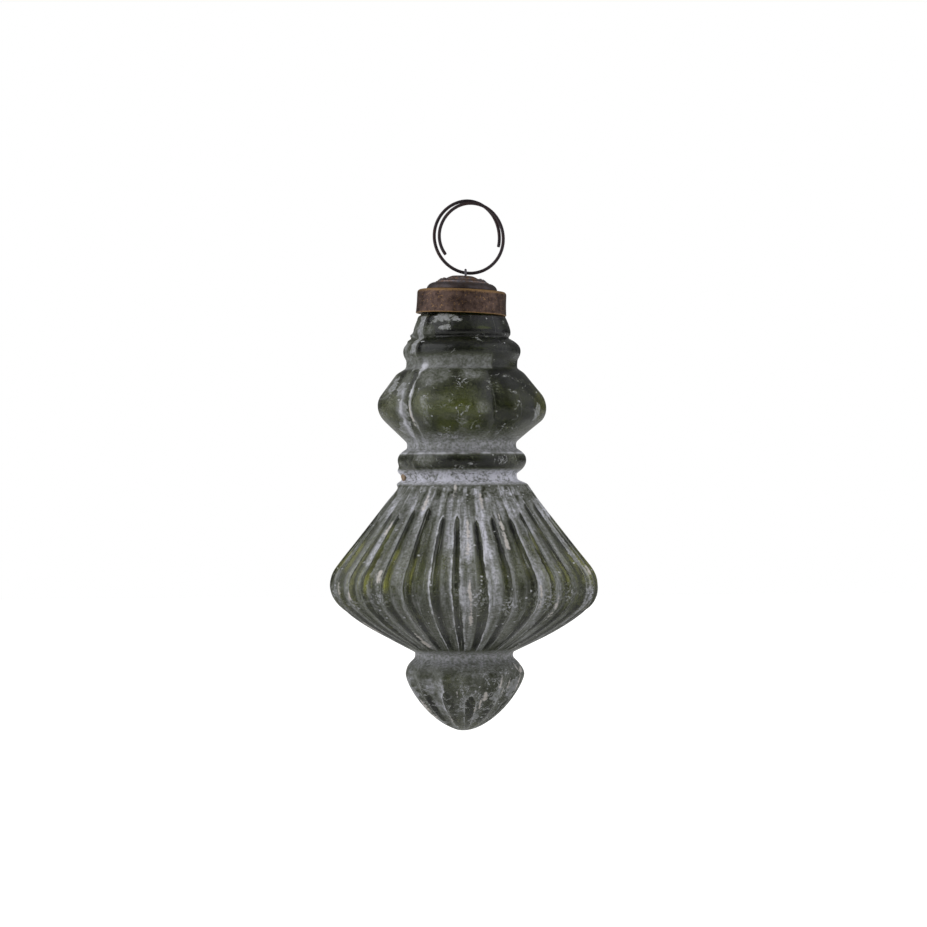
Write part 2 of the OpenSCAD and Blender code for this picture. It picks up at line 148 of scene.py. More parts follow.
def limewashed_glass():
    """Bottle-green glass, mould-blown, dipped in thin limewash and wiped: clear and dark on what stands
    proud, chalky grey in the channels and grooves, with crust along their edges, drips, specks and wisps;
    the crust on the edges nearer the front is partly a painted highlight, and white grains round the rim are
    painted glints."""
    material, tree = new_material("mould_blown_green_glass_limewashed")
    rest, flow = (add(tree, "Attribute", out="Vector", attribute_name=name)
                  for name in ("wash_place", "wash_flow"))
    (across, bridge, fluted, brushed, luck, crust_and_lit_edge, groove, pool, from_seam, rib, furrow, deposit, flake,
     haze_at, wiped, scribbled, scraped, spatter_and_glints, frost, thin) = (
        add(tree, "Attribute", out="Fac", attribute_name=name) for name in WASH_MARKS)

    # Wash runs down the wall, so its streaks are drawn ten times longer than wide, and its hair lines thirty.
    down, long_down = (add(tree, "Mapping", {"Vector": flow, "Scale": (1, 1, drawn)})
                       for drawn in (STREAK_DRAWN, HAIR_DRAWN))
    clouds, streaks, hairs, blotches, grain, swirl = (
        add(tree, "TexNoise", {"Vector": place, "Scale": per_mm(size), "Detail": detail,
                               "Roughness": roughness, "Distortion": twist})
        for place, size, detail, roughness, twist in (
            (rest, CLOUD, 3, 0.55, 0), (down, STREAK, 4, 0.6, 0), (long_down, HAIR, 2, 0.6, 0),
            (rest, BLOTCH, 6, 0.6, 0.2), (rest, GRAIN, 3, 0.65, 0), (rest, SWIRL, 5, 0.62, 0.6)))

    # Film in a channel: thin up to a ragged edge, thick in drips that end round in the middle
    streaks = add(tree, "Mix", {0: brushed, 2: blotches, 3: streaks})
    edge_at = across
    for part, weight in ((streaks, 0.5), (bridge, -0.8), (grain, 0.3)):
        edge_at = add(tree, "Math", {0: part, 1: weight, 2: edge_at}, operation="MULTIPLY_ADD")
    film = add(tree, "MapRange", {"Value": edge_at, "From Min": 0.85, "From Max": 1.08,
                                  "To Min": 1, "To Max": 0})
    dense = add(tree, "Math", {0: luck, 1: 0.28, 2: 0.32}, operation="MULTIPLY_ADD")
    streaky = add(tree, "MapRange", {"Value": streaks, "From Min": 0.35, "From Max": 0.65,
                                     "To Min": 0.55, "To Max": 1.4})
    scraps = add(tree, "MapRange", {"Value": blotches, "From Min": 0.6, "From Max": 0.42, "To Max": 0.9})
    gone = add(tree, "Math", {0: scraps, 1: scraped}, operation="MULTIPLY")
    kept = add(tree, "Math", {0: 1, 1: gone}, operation="SUBTRACT", use_clamp=True)
    for share in (dense, streaky, kept):
        film = add(tree, "Math", {0: film, 1: share}, operation="MULTIPLY")
    drip = add(tree, "Math", {0: across, 1: -0.75}, operation="MULTIPLY")
    for part, weight in ((luck, 0.45), (clouds, 1.5), (streaks, 1.2)):
        drip = add(tree, "Math", {0: part, 1: weight, 2: drip}, operation="MULTIPLY_ADD")
    drip = add(tree, "MapRange", {"Value": drip, "From Min": 1.25, "From Max": 2.15, "To Max": 0.75},
               interpolation_type="SMOOTHSTEP")
    hair = add(tree, "MapRange", {"Value": hairs, "From Min": 0.56, "From Max": 0.7, "To Max": 0.45})
    hair = add(tree, "Math", {0: hair, 1: brushed}, operation="MULTIPLY")
    for layer in (drip, hair):
        film = add(tree, "Math", {0: film, 1: layer}, operation="MAXIMUM")
    film = add(tree, "Math", {0: film, 1: fluted}, operation="MULTIPLY")

    # Film elsewhere: caked in the grooves, dried on the mould seam's rib, a haze on what was wiped, cloudy
    # and torn in spots, spattered round the brow, white grains on the ridges round the rim that are painted
    # glints, and rime along the rim
    coarse = add(tree, "MapRange", {"Value": groove, "From Min": 0.75, "From Max": 1.1,
                                    "To Min": 0.15, "To Max": 0.5})
    mealy = add(tree, "Mix", {0: coarse, 2: blotches, 3: grain})
    least_caked = add(tree, "Math", {0: 1, 1: coarse}, operation="SUBTRACT")
    stray = add(tree, "Math", {0: blotches, 1: 3.2, 2: -1.6}, operation="MULTIPLY_ADD")
    seam_at = add(tree, "Math", {0: from_seam, 1: stray}, operation="ADD")
    from_film = add(tree, "Math", {0: seam_at, 1: FILM_FROM_SEAM}, operation="ADD")
    from_film = add(tree, "Math", {0: from_film}, operation="ABSOLUTE")
    soft = add(tree, "Mix", {0: 0.5, 2: clouds, 3: grain})
    caked, hazy = (
        add(tree, "MapRange", {"Value": pattern, "From Min": thin_at, "From Max": full_at,
                               "To Min": least, "To Max": most}, interpolation_type="SMOOTHSTEP")
        for pattern, thin_at, full_at, least, most in (
            (mealy, 0.38, 0.6, least_caked, 1), (soft, 0.42, 0.64, 0, 0.26)))
    torn = add(tree, "Math", {0: blotches, 1: 4.0, 2: flake}, operation="MULTIPLY_ADD")
    on_rib, cloudy, torn, splash_and_glints, rime, rubbed = (
        add(tree, "MapRange", {"Value": pattern, "From Min": low, "From Max": high,
                               "To Min": at_low, "To Max": at_high})
        for pattern, low, high, at_low, at_high in (
            (from_film, 1.3, 2.5, 0.6, 0), (mealy, 0.34, 0.66, 0.22, 0.5), (torn, 2.1, 2.25, 0, 0.55),
            (grain, 0.42, 0.66, 0, 0.45), (grain, 0.44, 0.6, 0.25, 1), (grain, 0.35, 0.65, 0.7, 1.15)))
    unwiped = add(tree, "Math", {0: 1, 1: wiped}, operation="SUBTRACT", use_clamp=True)
    film = add(tree, "Math", {0: film, 1: torn}, operation="MAXIMUM")
    for pattern, where in ((caked, groove), (on_rib, rib), (hazy, unwiped), (cloudy, haze_at),
                           (splash_and_glints, spatter_and_glints), (rime, frost)):
        layer = add(tree, "Math", {0: pattern, 1: where}, operation="MULTIPLY")
        film = add(tree, "Math", {0: film, 1: layer}, operation="MAXIMUM")
    film = add(tree, "Math", {0: film, 1: rubbed}, operation="MULTIPLY")

    # Crust: wash heaped up to a crisp line along a channel's edge and beside the seam, and thick runs; on the
    # edge nearer the front that line is also a painted highlight of the side-lit wall
    bank = add(tree, "MapRange", {"Value": edge_at, "From Min": 0.55, "From Max": 0.98},
               interpolation_type="SMOOTHSTEP")
    bank = add(tree, "Math", {0: bank, 1: 2}, operation="POWER")
    beside = add(tree, "Math", {0: seam_at}, operation="ABSOLUTE")
    beside = add(tree, "Math", {0: beside, 1: CRUST_FROM_SEAM}, operation="SUBTRACT")
    beside = add(tree, "Math", {0: beside}, operation="ABSOLUTE")
    for part, weight in ((grain, 0.9), (clouds, -5)):
        beside = add(tree, "Math", {0: part, 1: weight, 2: beside}, operation="MULTIPLY_ADD")
    run = add(tree, "Math", {0: blotches, 1: 5, 2: -2.5}, operation="MULTIPLY_ADD")
    for part, weight in ((grain, 2), (deposit, 1)):
        run = add(tree, "Math", {0: part, 1: weight, 2: run}, operation="MULTIPLY_ADD")
    brink, patchy, beside, run = (
        add(tree, "MapRange", {"Value": pattern, "From Min": low, "From Max": high,
                               "To Min": at_low, "To Max": at_high})
        for pattern, low, high, at_low, at_high in (
            (edge_at, 0.99, 1.06, 1, 0), (blotches, 0.36, 0.58, 0.4, 1), (beside, -2, -1, 0.9, 0),
            (run, 0.9, 1.7, 0, 0.85)))
    crust = bank
    # Crust on the edge nearer the front, partly a painted highlight.
    for share in (brink, crust_and_lit_edge):
        crust = add(tree, "Math", {0: crust, 1: share}, operation="MULTIPLY")
    beside = add(tree, "Math", {0: beside, 1: furrow}, operation="MULTIPLY")
    for layer in (beside, pool):
        crust = add(tree, "Math", {0: crust, 1: layer}, operation="MAXIMUM")
    crust = add(tree, "Math", {0: crust, 1: patchy}, operation="MULTIPLY")

    # Specks and wisps: spattered specks, painted glints round the rim, and rubbed hair lines
    specks = add(tree, "TexVoronoi", {"Vector": rest, "Scale": per_mm(SPECK)})
    ragged = add(tree, "Math", {0: grain, 1: 0.8, 2: specks}, operation="MULTIPLY_ADD")
    chosen = add(tree, "SeparateColor", {"Color": specks.node.outputs["Color"]}, out="Red")
    for part, weight in ((spatter_and_glints, 0.45), (scribbled, 0.2), (fluted, 0.07)):
        chosen = add(tree, "Math", {0: part, 1: weight, 2: chosen}, operation="MULTIPLY_ADD")
    chosen = add(tree, "Math", {0: chosen, 1: 0.89}, operation="GREATER_THAN")
    curl = add(tree, "Math", {0: swirl, 1: 0.5}, operation="SUBTRACT")
    curl = add(tree, "Math", {0: curl}, operation="ABSOLUTE")
    curled = add(tree, "Math", {0: scribbled, 1: 0.17, 2: blotches}, operation="MULTIPLY_ADD")
    speck, wisp, curled = (
        add(tree, "MapRange", {"Value": pattern, "From Min": low, "From Max": high,
                               "To Min": at_low, "To Max": at_high})
        for pattern, low, high, at_low, at_high in (
            (ragged, 0.62, 0.5, 0, 0.75), (curl, 0.006, 0.022, 1, 0), (curled, 0.54, 0.68, 0, 0.75)))
    speck = add(tree, "Math", {0: speck, 1: chosen}, operation="MULTIPLY")
    runny = add(tree, "Math", {0: fluted, 1: brushed}, operation="MULTIPLY")
    few = add(tree, "Math", {0: runny, 1: -0.6, 2: 1}, operation="MULTIPLY_ADD")
    for share in (curled, few):
        wisp = add(tree, "Math", {0: wisp, 1: share}, operation="MULTIPLY")

    thick = crust
    for layer in (run, speck, wisp):
        thick = add(tree, "Math", {0: thick, 1: layer}, operation="MAXIMUM")
    cover = add(tree, "Math", {0: film, 1: thick}, operation="MAXIMUM", use_clamp=True)

    # Thin film lets the green through, thick film is white, and runs are the colour of old plaster.
    whiter = add(tree, "MapRange", {"Value": film, "From Min": 0.15, "From Max": 0.85})
    chalk = add(tree, "Mix", {0: whiter, 6: linear("#787d60"), 7: linear("#cacad4")},
                out=2, data_type="RGBA")
    cream = add(tree, "Mix", {0: grain, 6: linear("#a3968c"), 7: linear("#eae4de")},
                out=2, data_type="RGBA")
    cream = add(tree, "Mix", {0: run, 6: linear("#d4d4dd"), 7: cream}, out=2, data_type="RGBA")
    wash_colour = add(tree, "Mix", {0: thick, 6: chalk, 7: cream}, out=2, data_type="RGBA")

    uneven = add(tree, "Math", {0: grain, 1: 0.6, 2: blotches}, operation="MULTIPLY_ADD")
    height = add(tree, "Math", {0: uneven, 1: cover}, operation="MULTIPLY")
    relief = add(tree, "Bump", {"Height": height, "Strength": 0.6, "Distance": WASH_RELIEF})
    wash = add(tree, "BsdfPrincipled", {"Base Color": wash_colour, "Roughness": 0.85,
                                        "Specular IOR Level": 0.3, "Normal": relief})

    # The metal of the glass is pale where it was blown thin and near black where it stayed thick.
    glow = add(tree, "Math", {0: clouds, 1: 2.6, 2: -1.45}, operation="MULTIPLY_ADD")
    glow = add(tree, "Math", {0: thin, 1: glow}, operation="ADD", use_clamp=True)
    tint = add(tree, "Mix", {0: glow, 6: linear("#1a1d15"), 7: linear("#8c8e46")}, out=2, data_type="RGBA")
    ripples = add(tree, "Math", {0: blotches, 1: 3, 2: grain}, operation="MULTIPLY_ADD")
    pitted = add(tree, "Bump", {"Height": ripples, "Strength": 0.4, "Distance": GLASS_RELIEF})
    # Wiping left it dull in patches.
    dull = add(tree, "MapRange", {"Value": blotches, "From Min": 0.35, "From Max": 0.62,
                                  "To Min": 0.14, "To Max": 0.26})
    glass = add(tree, "BsdfPrincipled", {"Base Color": tint, "Roughness": dull, "IOR": 1.5,
                                         "Transmission Weight": 1.0, "Normal": pitted})
    both = add(tree, "MixShader", {0: cover, 1: glass, 2: wash})
    add(tree, "OutputMaterial", {"Surface": both})
    return material


def clear_inner_glass():
    """The inside of the blown wall: fire-polished, a little wavy, with the same green in the metal."""
    material, tree = new_material("fire_polished_green_glass")
    place = add(tree, "TexCoord", out="Object")
    waves = add(tree, "TexNoise", {"Vector": place, "Scale": per_mm(7), "Detail": 2})
    ripple = add(tree, "Bump", {"Height": waves, "Strength": 0.3, "Distance": 0.3 * MM})
    glass = add(tree, "BsdfPrincipled", {"Base Color": linear("#8f9a5c"), "Roughness": 0.08, "IOR": 1.5,
                                         "Transmission Weight": 1.0, "Normal": ripple})
    add(tree, "OutputMaterial", {"Surface": glass})
    return material


def bronzed_brass():
    """Thin spun brass, browned in a bath and rubbed back: brown and mottled, gold where the edges wear."""
    material, tree = new_material("browned_spun_brass")
    place = add(tree, "TexCoord", out="Object")
    wear = add(tree, "Attribute", out="Fac", attribute_name="wear")
    mottle = add(tree, "TexNoise", {"Vector": place, "Scale": per_mm(1.6), "Detail": 5, "Roughness": 0.65})
    fleck = add(tree, "TexNoise", {"Vector": place, "Scale": per_mm(0.55), "Detail": 4, "Roughness": 0.7})
    brown = add(tree, "MapRange", {"Value": mottle, "From Min": 0.36, "From Max": 0.64})
    brown = add(tree, "Mix", {0: brown, 6: linear("#3d2f2b"), 7: linear("#6e5a51")},
                out=2, data_type="RGBA")
    bare = add(tree, "Math", {0: fleck, 1: 0.9, 2: -0.45}, operation="MULTIPLY_ADD")
    bare = add(tree, "Math", {0: wear, 1: bare}, operation="ADD")
    bare = add(tree, "MapRange", {"Value": bare, "From Min": 0.2, "From Max": 0.85, "To Max": 0.85})
    scuffs = add(tree, "MapRange", {"Value": fleck, "From Min": 0.58, "From Max": 0.7, "To Max": 0.75})
    bare = add(tree, "Math", {0: bare, 1: scuffs}, operation="MAXIMUM")
    colour = add(tree, "Mix", {0: bare, 6: brown, 7: linear("#bf965f")}, out=2, data_type="RGBA")
    dents = add(tree, "Bump", {"Height": fleck, "Strength": 0.25, "Distance": 0.08 * MM})
    metal = add(tree, "BsdfPrincipled", {"Base Color": colour, "Metallic": 0.85, "Roughness": 0.48,
                                         "Normal": dents})
    add(tree, "OutputMaterial", {"Surface": metal})
    return material


def blackened_brass():
    """Pressed brass, blackened and handled: near black in the hollows, bronze where rubbed, and painted
    blue-grey highlights on what stands proud.
    """
    material, tree = new_material("blackened_pressed_brass")
    place = add(tree, "TexCoord", out="Object")
    wear = add(tree, "Attribute", out="Fac", attribute_name="wear")
    mottle = add(tree, "TexNoise", {"Vector": place, "Scale": per_mm(1.6), "Detail": 4, "Roughness": 0.65})
    dark = add(tree, "Mix", {0: mottle, 6: linear("#221e1f"), 7: linear("#5c5353")},
               out=2, data_type="RGBA")
    rubbed = add(tree, "MapRange", {"Value": mottle, "From Min": 0.35, "From Max": 0.65})
    # What stands proud is rubbed bronze and a painted blue-grey highlight.
    bronze_and_highlight = add(tree, "Mix", {0: rubbed, 6: linear("#a67c54"), 7: linear("#a3a2ae")},
                out=2, data_type="RGBA")
    colour = add(tree, "Mix", {0: wear, 6: dark, 7: bronze_and_highlight}, out=2, data_type="RGBA")
    dents = add(tree, "Bump", {"Height": mottle, "Strength": 0.35, "Distance": 0.1 * MM})
    metal = add(tree, "BsdfPrincipled", {"Base Color": colour, "Metallic": 0.85, "Roughness": 0.42,
                                         "Normal": dents})
    add(tree, "OutputMaterial", {"Surface": metal})
    return material


def dark_wire(name, scale_colour, rust_colour, rust):
    """Drawn iron wire, dull under its scale: rust, up to the share given, blooms on it in soft patches."""
    material, tree = new_material(name)
    place = add(tree, "TexCoord", out="Object")
    bloom = add(tree, "TexNoise", {"Vector": place, "Scale": per_mm(5), "Detail": 3, "Roughness": 0.6})
    bloom = add(tree, "MapRange", {"Value": bloom, "From Min": 0.5, "From Max": 0.72, "To Max": rust})
    colour = add(tree, "Mix", {0: bloom, 6: linear(scale_colour), 7: linear(rust_colour)},
                 out=2, data_type="RGBA")
    metal = add(tree, "BsdfPrincipled", {"Base Color": colour, "Metallic": 0.8, "Roughness": 0.36})
    add(tree, "OutputMaterial", {"Surface": metal})
    return material


def plaster():
    """Set plaster cement in the cap: matt and off-white, with fine pores."""
    material, tree = new_material("set_plaster_cement")
    place = add(tree, "TexCoord", out="Object")
    pores = add(tree, "TexNoise", {"Vector": place, "Scale": per_mm(0.6), "Detail": 3})
    tone = add(tree, "Mix", {0: pores, 6: linear("#a9a398"), 7: linear("#c9c4ba")}, out=2, data_type="RGBA")
    pits = add(tree, "Bump", {"Height": pores, "Strength": 0.4, "Distance": 0.1 * MM})
    stone = add(tree, "BsdfPrincipled", {"Base Color": tone, "Roughness": 0.9, "Normal": pits})
    add(tree, "OutputMaterial", {"Surface": stone})
    return material


def earthy_wash():
    """Limewash that dried in a lump with dust and earth in it: matt, tan and gritty."""
    material, tree = new_material("dried_earthy_wash")
    place = add(tree, "TexCoord", out="Object")
    grit = add(tree, "TexNoise", {"Vector": place, "Scale": per_mm(0.9), "Detail": 4})
    tone = add(tree, "Mix", {0: grit, 6: linear("#6f5a45"), 7: linear("#a8957d")}, out=2, data_type="RGBA")
    rough = add(tree, "Bump", {"Height": grit, "Strength": 0.6, "Distance": 0.2 * MM})
    earth = add(tree, "BsdfPrincipled", {"Base Color": tone, "Roughness": 0.9, "Normal": rough})
    add(tree, "OutputMaterial", {"Surface": earth})
    return material


# Meshes

def mesh_object(name, vertices, faces, materials, face_slots=None):
    mesh = bpy.data.meshes.new(name)
    mesh.from_pydata([tuple(v) for v in vertices], [], faces)
    for material in materials:
        mesh.materials.append(material)
    if face_slots is not None:
        mesh.polygons.foreach_set("material_index", np.asarray(face_slots, dtype=np.int32))
    mesh.shade_smooth()
    obj = bpy.data.objects.new(name, mesh)
    scene.collection.objects.link(obj)
    return obj


def store(obj, name, values):
    """Keeps one value or vector for each vertex, for the material to read."""
    values = np.asarray(values, dtype=np.float32)
    kind = "FLOAT_VECTOR" if values.ndim == 2 else "FLOAT"
    attribute = obj.data.attributes.new(name, kind, "POINT")
    attribute.data.foreach_set("vector" if values.ndim == 2 else "value", values.ravel())


def grid_faces(rows, columns, first=0):
    """Quads between rows of a grid that closes round on itself, the rows going down."""
    i, j = np.meshgrid(np.arange(rows - 1), np.arange(columns), indexing="ij")
    k = (j + 1) % columns
    quads = np.stack([i * columns + j, (i + 1) * columns + j, (i + 1) * columns + k, i * columns + k], -1)
    return (quads.reshape(-1, 4) + first).tolist()


def capped_faces(rows, columns):
    """The quads of a grid, and a face that closes each of its two ends."""
    first, last = list(range(columns)), list(range((rows - 1) * columns, rows * columns))
    return grid_faces(rows, columns) + [first, last[::-1]]


def smooth(low, high, x):
    """Eases from 0 at low to 1 at high."""
    t = np.clip((x - low) / (high - low), 0, 1)
    return t * t * (3 - 2 * t)


# Glass outline, in millimetres below the band: groove and peak levels as in the part's solids
GLASS_WALL = 1.8
NECK = {"r": 11.2, "end": 0.25}
SHOULDER = {"start": 0.3, "h": 6.4, "r": 13.55, "top_r": 11.9, "round": 1.3}
CREASE = {"depth": 0.8, "above": 0.5, "below": 0.2}
GROOVE = 1.6
UPPER_BEAD = {"h": 7.0, "r": 16.3, "peak": 0.53}
THROAT_R = 15.35
BULB = {"h": 22.8, "r": 23.6, "peak": 0.535, "rim": 5.5, "brow_r": 17.8, "brow_h": 2.2, "land": 0.3}
WAIST_R = 15.1
LOWER_BEAD = {"h": 8.7, "r": 17.85, "peak": 0.46}
BEAD_ROUND = 2.2
COLLAR_R = 14.9
BROW = {"h": 1.2, "r": 17.5}
BELLY = {"r": 37.2, "rim": 8.0, "upper": 29.9, "lower": 19.3, "bulge": 0.75}
ANKLE_R = 13.55
FINIAL = {"r": 16.8, "crown": 5.5, "drop": 15.38, "round": 1.8, "taper": 1.3, "blunt": 0.57}

THROAT = SHOULDER["h"] + UPPER_BEAD["h"]
WAIST = THROAT + BULB["h"]
COLLAR = WAIST + LOWER_BEAD["h"]
BROW_LEVEL = COLLAR + GROOVE / 2 + BROW["h"]
BELLY_LEVEL = COLLAR + BELLY["upper"]
ANKLE = BELLY_LEVEL + BELLY["lower"]
FINIAL_LEVEL = ANKLE + FINIAL["crown"]

# Rows along the wall, in millimetres, and the finer steps in which blown glass eases over a mould's corners
ROW_STEP, FINE_STEPS, CORNER_EASE = 0.55, 6, 0.45
# Points along a side, a rim and the tip of the outline, which crowd towards the tip
SIDE_POINTS, RIM_POINTS, TIP_POINTS, TIP_CROWDING = 60, 120, 160, 1.6

# The glass isn't quite straight: how far its middle lies to the right, at millimetres below the band
WANDER_AT = (THROAT, THROAT + 3, THROAT + 11, THROAT + 16, WAIST - 1, COLLAR - 1, COLLAR + 2, COLLAR + 6,
             COLLAR + 21, BELLY_LEVEL, BELLY_LEVEL + 6, ANKLE - 5, ANKLE)
WANDER_BY = (0, -0.3, 0.1, 0.6, -0.2, -0.1, 0.5, 0.2, 0, 0.12, 0.55, 0.6, 0)


def swell(d0, r0, d1, r1, power):
    """A rounded side from a groove out to a peak."""
    t = np.linspace(0, 1, SIDE_POINTS, endpoint=False)
    return d0 + (d1 - d0) * t, r0 + (r1 - r0) * (1 - (1 - t) ** power)


def fall(d0, r0, d1, r1, power):
    """A rounded side from a peak in to a groove."""
    t = np.linspace(0, 1, SIDE_POINTS)
    return d0 + (d1 - d0) * t, r1 + (r0 - r1) * (1 - t ** power)


def tangent_point(p, centre, radius, turn):
    """Where a line from p touches a circle, on the side that turn says."""
    d = centre - p
    angle = math.atan2(d[1], d[0]) + turn * math.asin(radius / np.linalg.norm(d))
    return p + math.sqrt(d @ d - radius ** 2) * np.array([math.cos(angle), math.sin(angle)])


def two_cones(brow, foot, level, widest, rim, bulge):
    """Depths and radii of two cones that meet in a round rim, from brow to foot; the lower one may bulge."""
    centre = np.array([widest - rim, -level])
    brow, foot = (np.array([radius, -depth]) for depth, radius in (brow, foot))
    upper = tangent_point(brow, centre, rim, 1)
    lower = tangent_point(foot, centre, rim, -1)
    start, end = (math.atan2(p[1] - centre[1], p[0] - centre[0]) for p in (upper, lower))
    arc = np.linspace(start, end, RIM_POINTS)
    turn = centre + rim * np.stack([np.cos(arc), np.sin(arc)], 1)
    run = foot - lower
    outward = np.array([-run[1], run[0]]) / np.linalg.norm(run)
    t = np.linspace(0, 1, SIDE_POINTS)[1:, None]
    points = np.concatenate([[brow], turn, lower + run * t + outward * bulge * np.sin(math.pi * t ** 0.7)])
    return -points[:, 1], points[:, 0]


def glass_outline():
    """Way along the wall, depth below the band and radius, from the mouth to the tip, in even steps."""
    half = GROOVE / 2
    crease_r = SHOULDER["r"] - CREASE["depth"]
    crest = SHOULDER["h"] + UPPER_BEAD["h"] * UPPER_BEAD["peak"]
    equator = THROAT + BULB["h"] * BULB["peak"]
    land = THROAT + half
    bulb_brow = (land + BULB["brow_h"], BULB["brow_r"])
    ridge = WAIST + LOWER_BEAD["h"] * LOWER_BEAD["peak"]
    u = 1 - (1 - np.linspace(0, 1, TIP_POINTS)) ** TIP_CROWDING
    pieces = [
        (np.array([BAND_BOTTOM - MOUTH, NECK["end"]]), np.array([NECK["r"], NECK["r"]])),
        swell(SHOULDER["start"], SHOULDER["top_r"], SHOULDER["h"] - GROOVE, SHOULDER["r"], SHOULDER["round"]),
        (np.array([SHOULDER["h"] - CREASE["above"], SHOULDER["h"]]), np.array([SHOULDER["r"], crease_r])),
        swell(SHOULDER["h"] + CREASE["below"], crease_r, crest, UPPER_BEAD["r"], BEAD_ROUND),
        fall(crest, UPPER_BEAD["r"], THROAT - half, THROAT_R, BEAD_ROUND),
        (np.array([land, land + BULB["land"] * BULB["brow_h"]]), np.array([THROAT_R, THROAT_R])),
        two_cones(bulb_brow, (WAIST - half, WAIST_R), equator, BULB["r"], BULB["rim"], 0),
        swell(WAIST + half, WAIST_R, ridge, LOWER_BEAD["r"], BEAD_ROUND),
        fall(ridge, LOWER_BEAD["r"], COLLAR - half, COLLAR_R, BEAD_ROUND),
        (np.array([COLLAR + half]), np.array([COLLAR_R])),
        two_cones((BROW_LEVEL, BROW["r"]), (ANKLE - half, ANKLE_R), BELLY_LEVEL, BELLY["r"], BELLY["rim"],
                  BELLY["bulge"]),
        swell(ANKLE + half, ANKLE_R, FINIAL_LEVEL, FINIAL["r"], FINIAL["round"]),
        (FINIAL_LEVEL + FINIAL["drop"] * u, FINIAL["r"] * (1 - u ** FINIAL["taper"]) ** FINIAL["blunt"]),
    ]
    depth = np.concatenate([p[0] for p in pieces])
    radius = np.concatenate([p[1] for p in pieces])
    along = np.concatenate([[0], np.cumsum(np.hypot(np.diff(depth), np.diff(radius)))])
    even = np.linspace(0, along[-1], round(along[-1] / ROW_STEP) * FINE_STEPS + 1)
    depth, radius = np.interp(even, along, depth), np.interp(even, along, radius)
    # Blown glass doesn't fill a mould's sharp corners.
    step = even[1] - even[0]
    reach = round(3 * CORNER_EASE / step)
    kernel = np.exp(-0.5 * (np.arange(-reach, reach + 1) * step / CORNER_EASE) ** 2)
    padded = np.pad(radius, reach, mode="reflect", reflect_type="odd")
    radius = np.maximum(np.convolve(padded, kernel / kernel.sum(), "valid"), 0)
    radius[-1] = 0
    return even[::FINE_STEPS], depth[::FINE_STEPS], radius[::FINE_STEPS]


# Relief round the glass: azimuths in radians from x, or in degrees from the front, depths in millimetres
FRONT = math.radians(-90)
SEAM_AZIMUTH = math.radians(-136.5)
SEAM_HEIGHT, SEAM_HALF_WIDTH, SEAM_TALLER = 0.5, 0.9, 0.8
FLUTES, LOBES, FINIAL_FLUTES = 33, 5, 13
FLUTE_DEPTH, LOBE_DEPTH, FINIAL_FLUTE_DEPTH = 1.9, 3.2, 1.35
FLUTE_VARIES, FLUTE_BROAD, FLUTE_STRAY, FINIAL_STRAY = 0.2, 0.65, 0.14, 0.12
NOTCH = {"azimuth": -36, "above": 1.0, "depth": 0.8, "half_width": 0.5, "half_height": 1.3}
# The inside follows the belly's flutes by less than the outside, and the bulb's lobes nearly as far.
INNER_FLUTES, INNER_FLUTING, INNER_LOBING = 0.6, 0.35, 0.9
LEAST_INNER_R, PIT_DROP = 0.4, 0.3
COLUMNS = FLUTES * 12

# Grooves that hold wash: level, how much, and how far and how sharply it thins out above and below
GROOVES = ((THROAT, 0.47, (2.2, 4), (2.1, 6)), (WAIST, 0.66, (4.2, 2), (2.3, 6)),
           (COLLAR, 1.15, (2.2, 4), (2.2, 4)), (ANKLE, 0.66, (2.4, 3), (4.6, 2)))
# Wash that pooled at the lower edge of a groove: millimetres below the band, how much
POOLS = ((THROAT + 1.7, 0.5), (WAIST + 2.1, 0.9))
POOL_HALF_HEIGHT = 0.45
# On the right the throat and the bulb were wiped bare: from and to how far round from the front in
# radians, with a sharp edge and a soft one
BARE_FROM, BARE_TO = math.radians(34), 1.9
BARE_EDGE, BARE_FADE = 0.06, 0.3
# Lumps of dried wash: degrees round from the front, millimetres down, how proud, half width, half height,
# and whiteness
LUMPS = ((-88, COLLAR, 2.2, 4.5, 2.4, 1.2), (-92, SHOULDER["h"] + 0.1, 1.1, 5.0, 1.2, 0.2))
# How pale the glass is in each of the bulb's lobes, from the seam on
LOBE_GLOW = (0.8, 0.3, 0.6, 0.9, 0.35)
# The radius on which the streaks are drawn, and the least one for the other patterns
FLOW_R, LEAST_PATTERN_R = 20, 4
# Lengths of the drips that start at the brow
DRIPS = (3, 24)

# Thick runs of wash: degrees round from the front, millimetres down from the band to the top of the
# run, its length and its half width
RUNS = [(2.5, 56, 9, 0.8), (24.4, 55, 9, 0.8), (2.5, 72, 12, 0.6), (46.2, 77, 6, 0.9), (35.3, 74, 5, 0.6),
        (-30.2, 48, 5, 0.7), (-41, 70, 2, 1.2), (-62, 76, 1.5, 1.2), (-52, 57, 3, 0.6), (-33, 86, 5, 0.5),
        (13.4, 49, 4, 0.7), (-8, 47, 3, 0.7), (-43, 25, 6, 0.6), (25, 103.5, 1.5, 0.7), (21, 105.5, 2.2, 0.4),
        (15, 107.5, 1, 0.35), (54, 99.8, 2.6, 0.35), (47, 102.6, 1.5, 0.45), (-8, 103, 1.5, 0.35),
        (-66, 106, 5, 0.7), (-24, 110, 2, 0.5), (38, 99, 3, 0.4)]
RUN_PROUD = 0.18
# Runs strewn over the sides and the back: how many, and the limits of the same four values
STREWN_RUNS = 60
STREWN_WITHIN = ((60, 300), (44, 100), (1, 9), (0.4, 0.85))

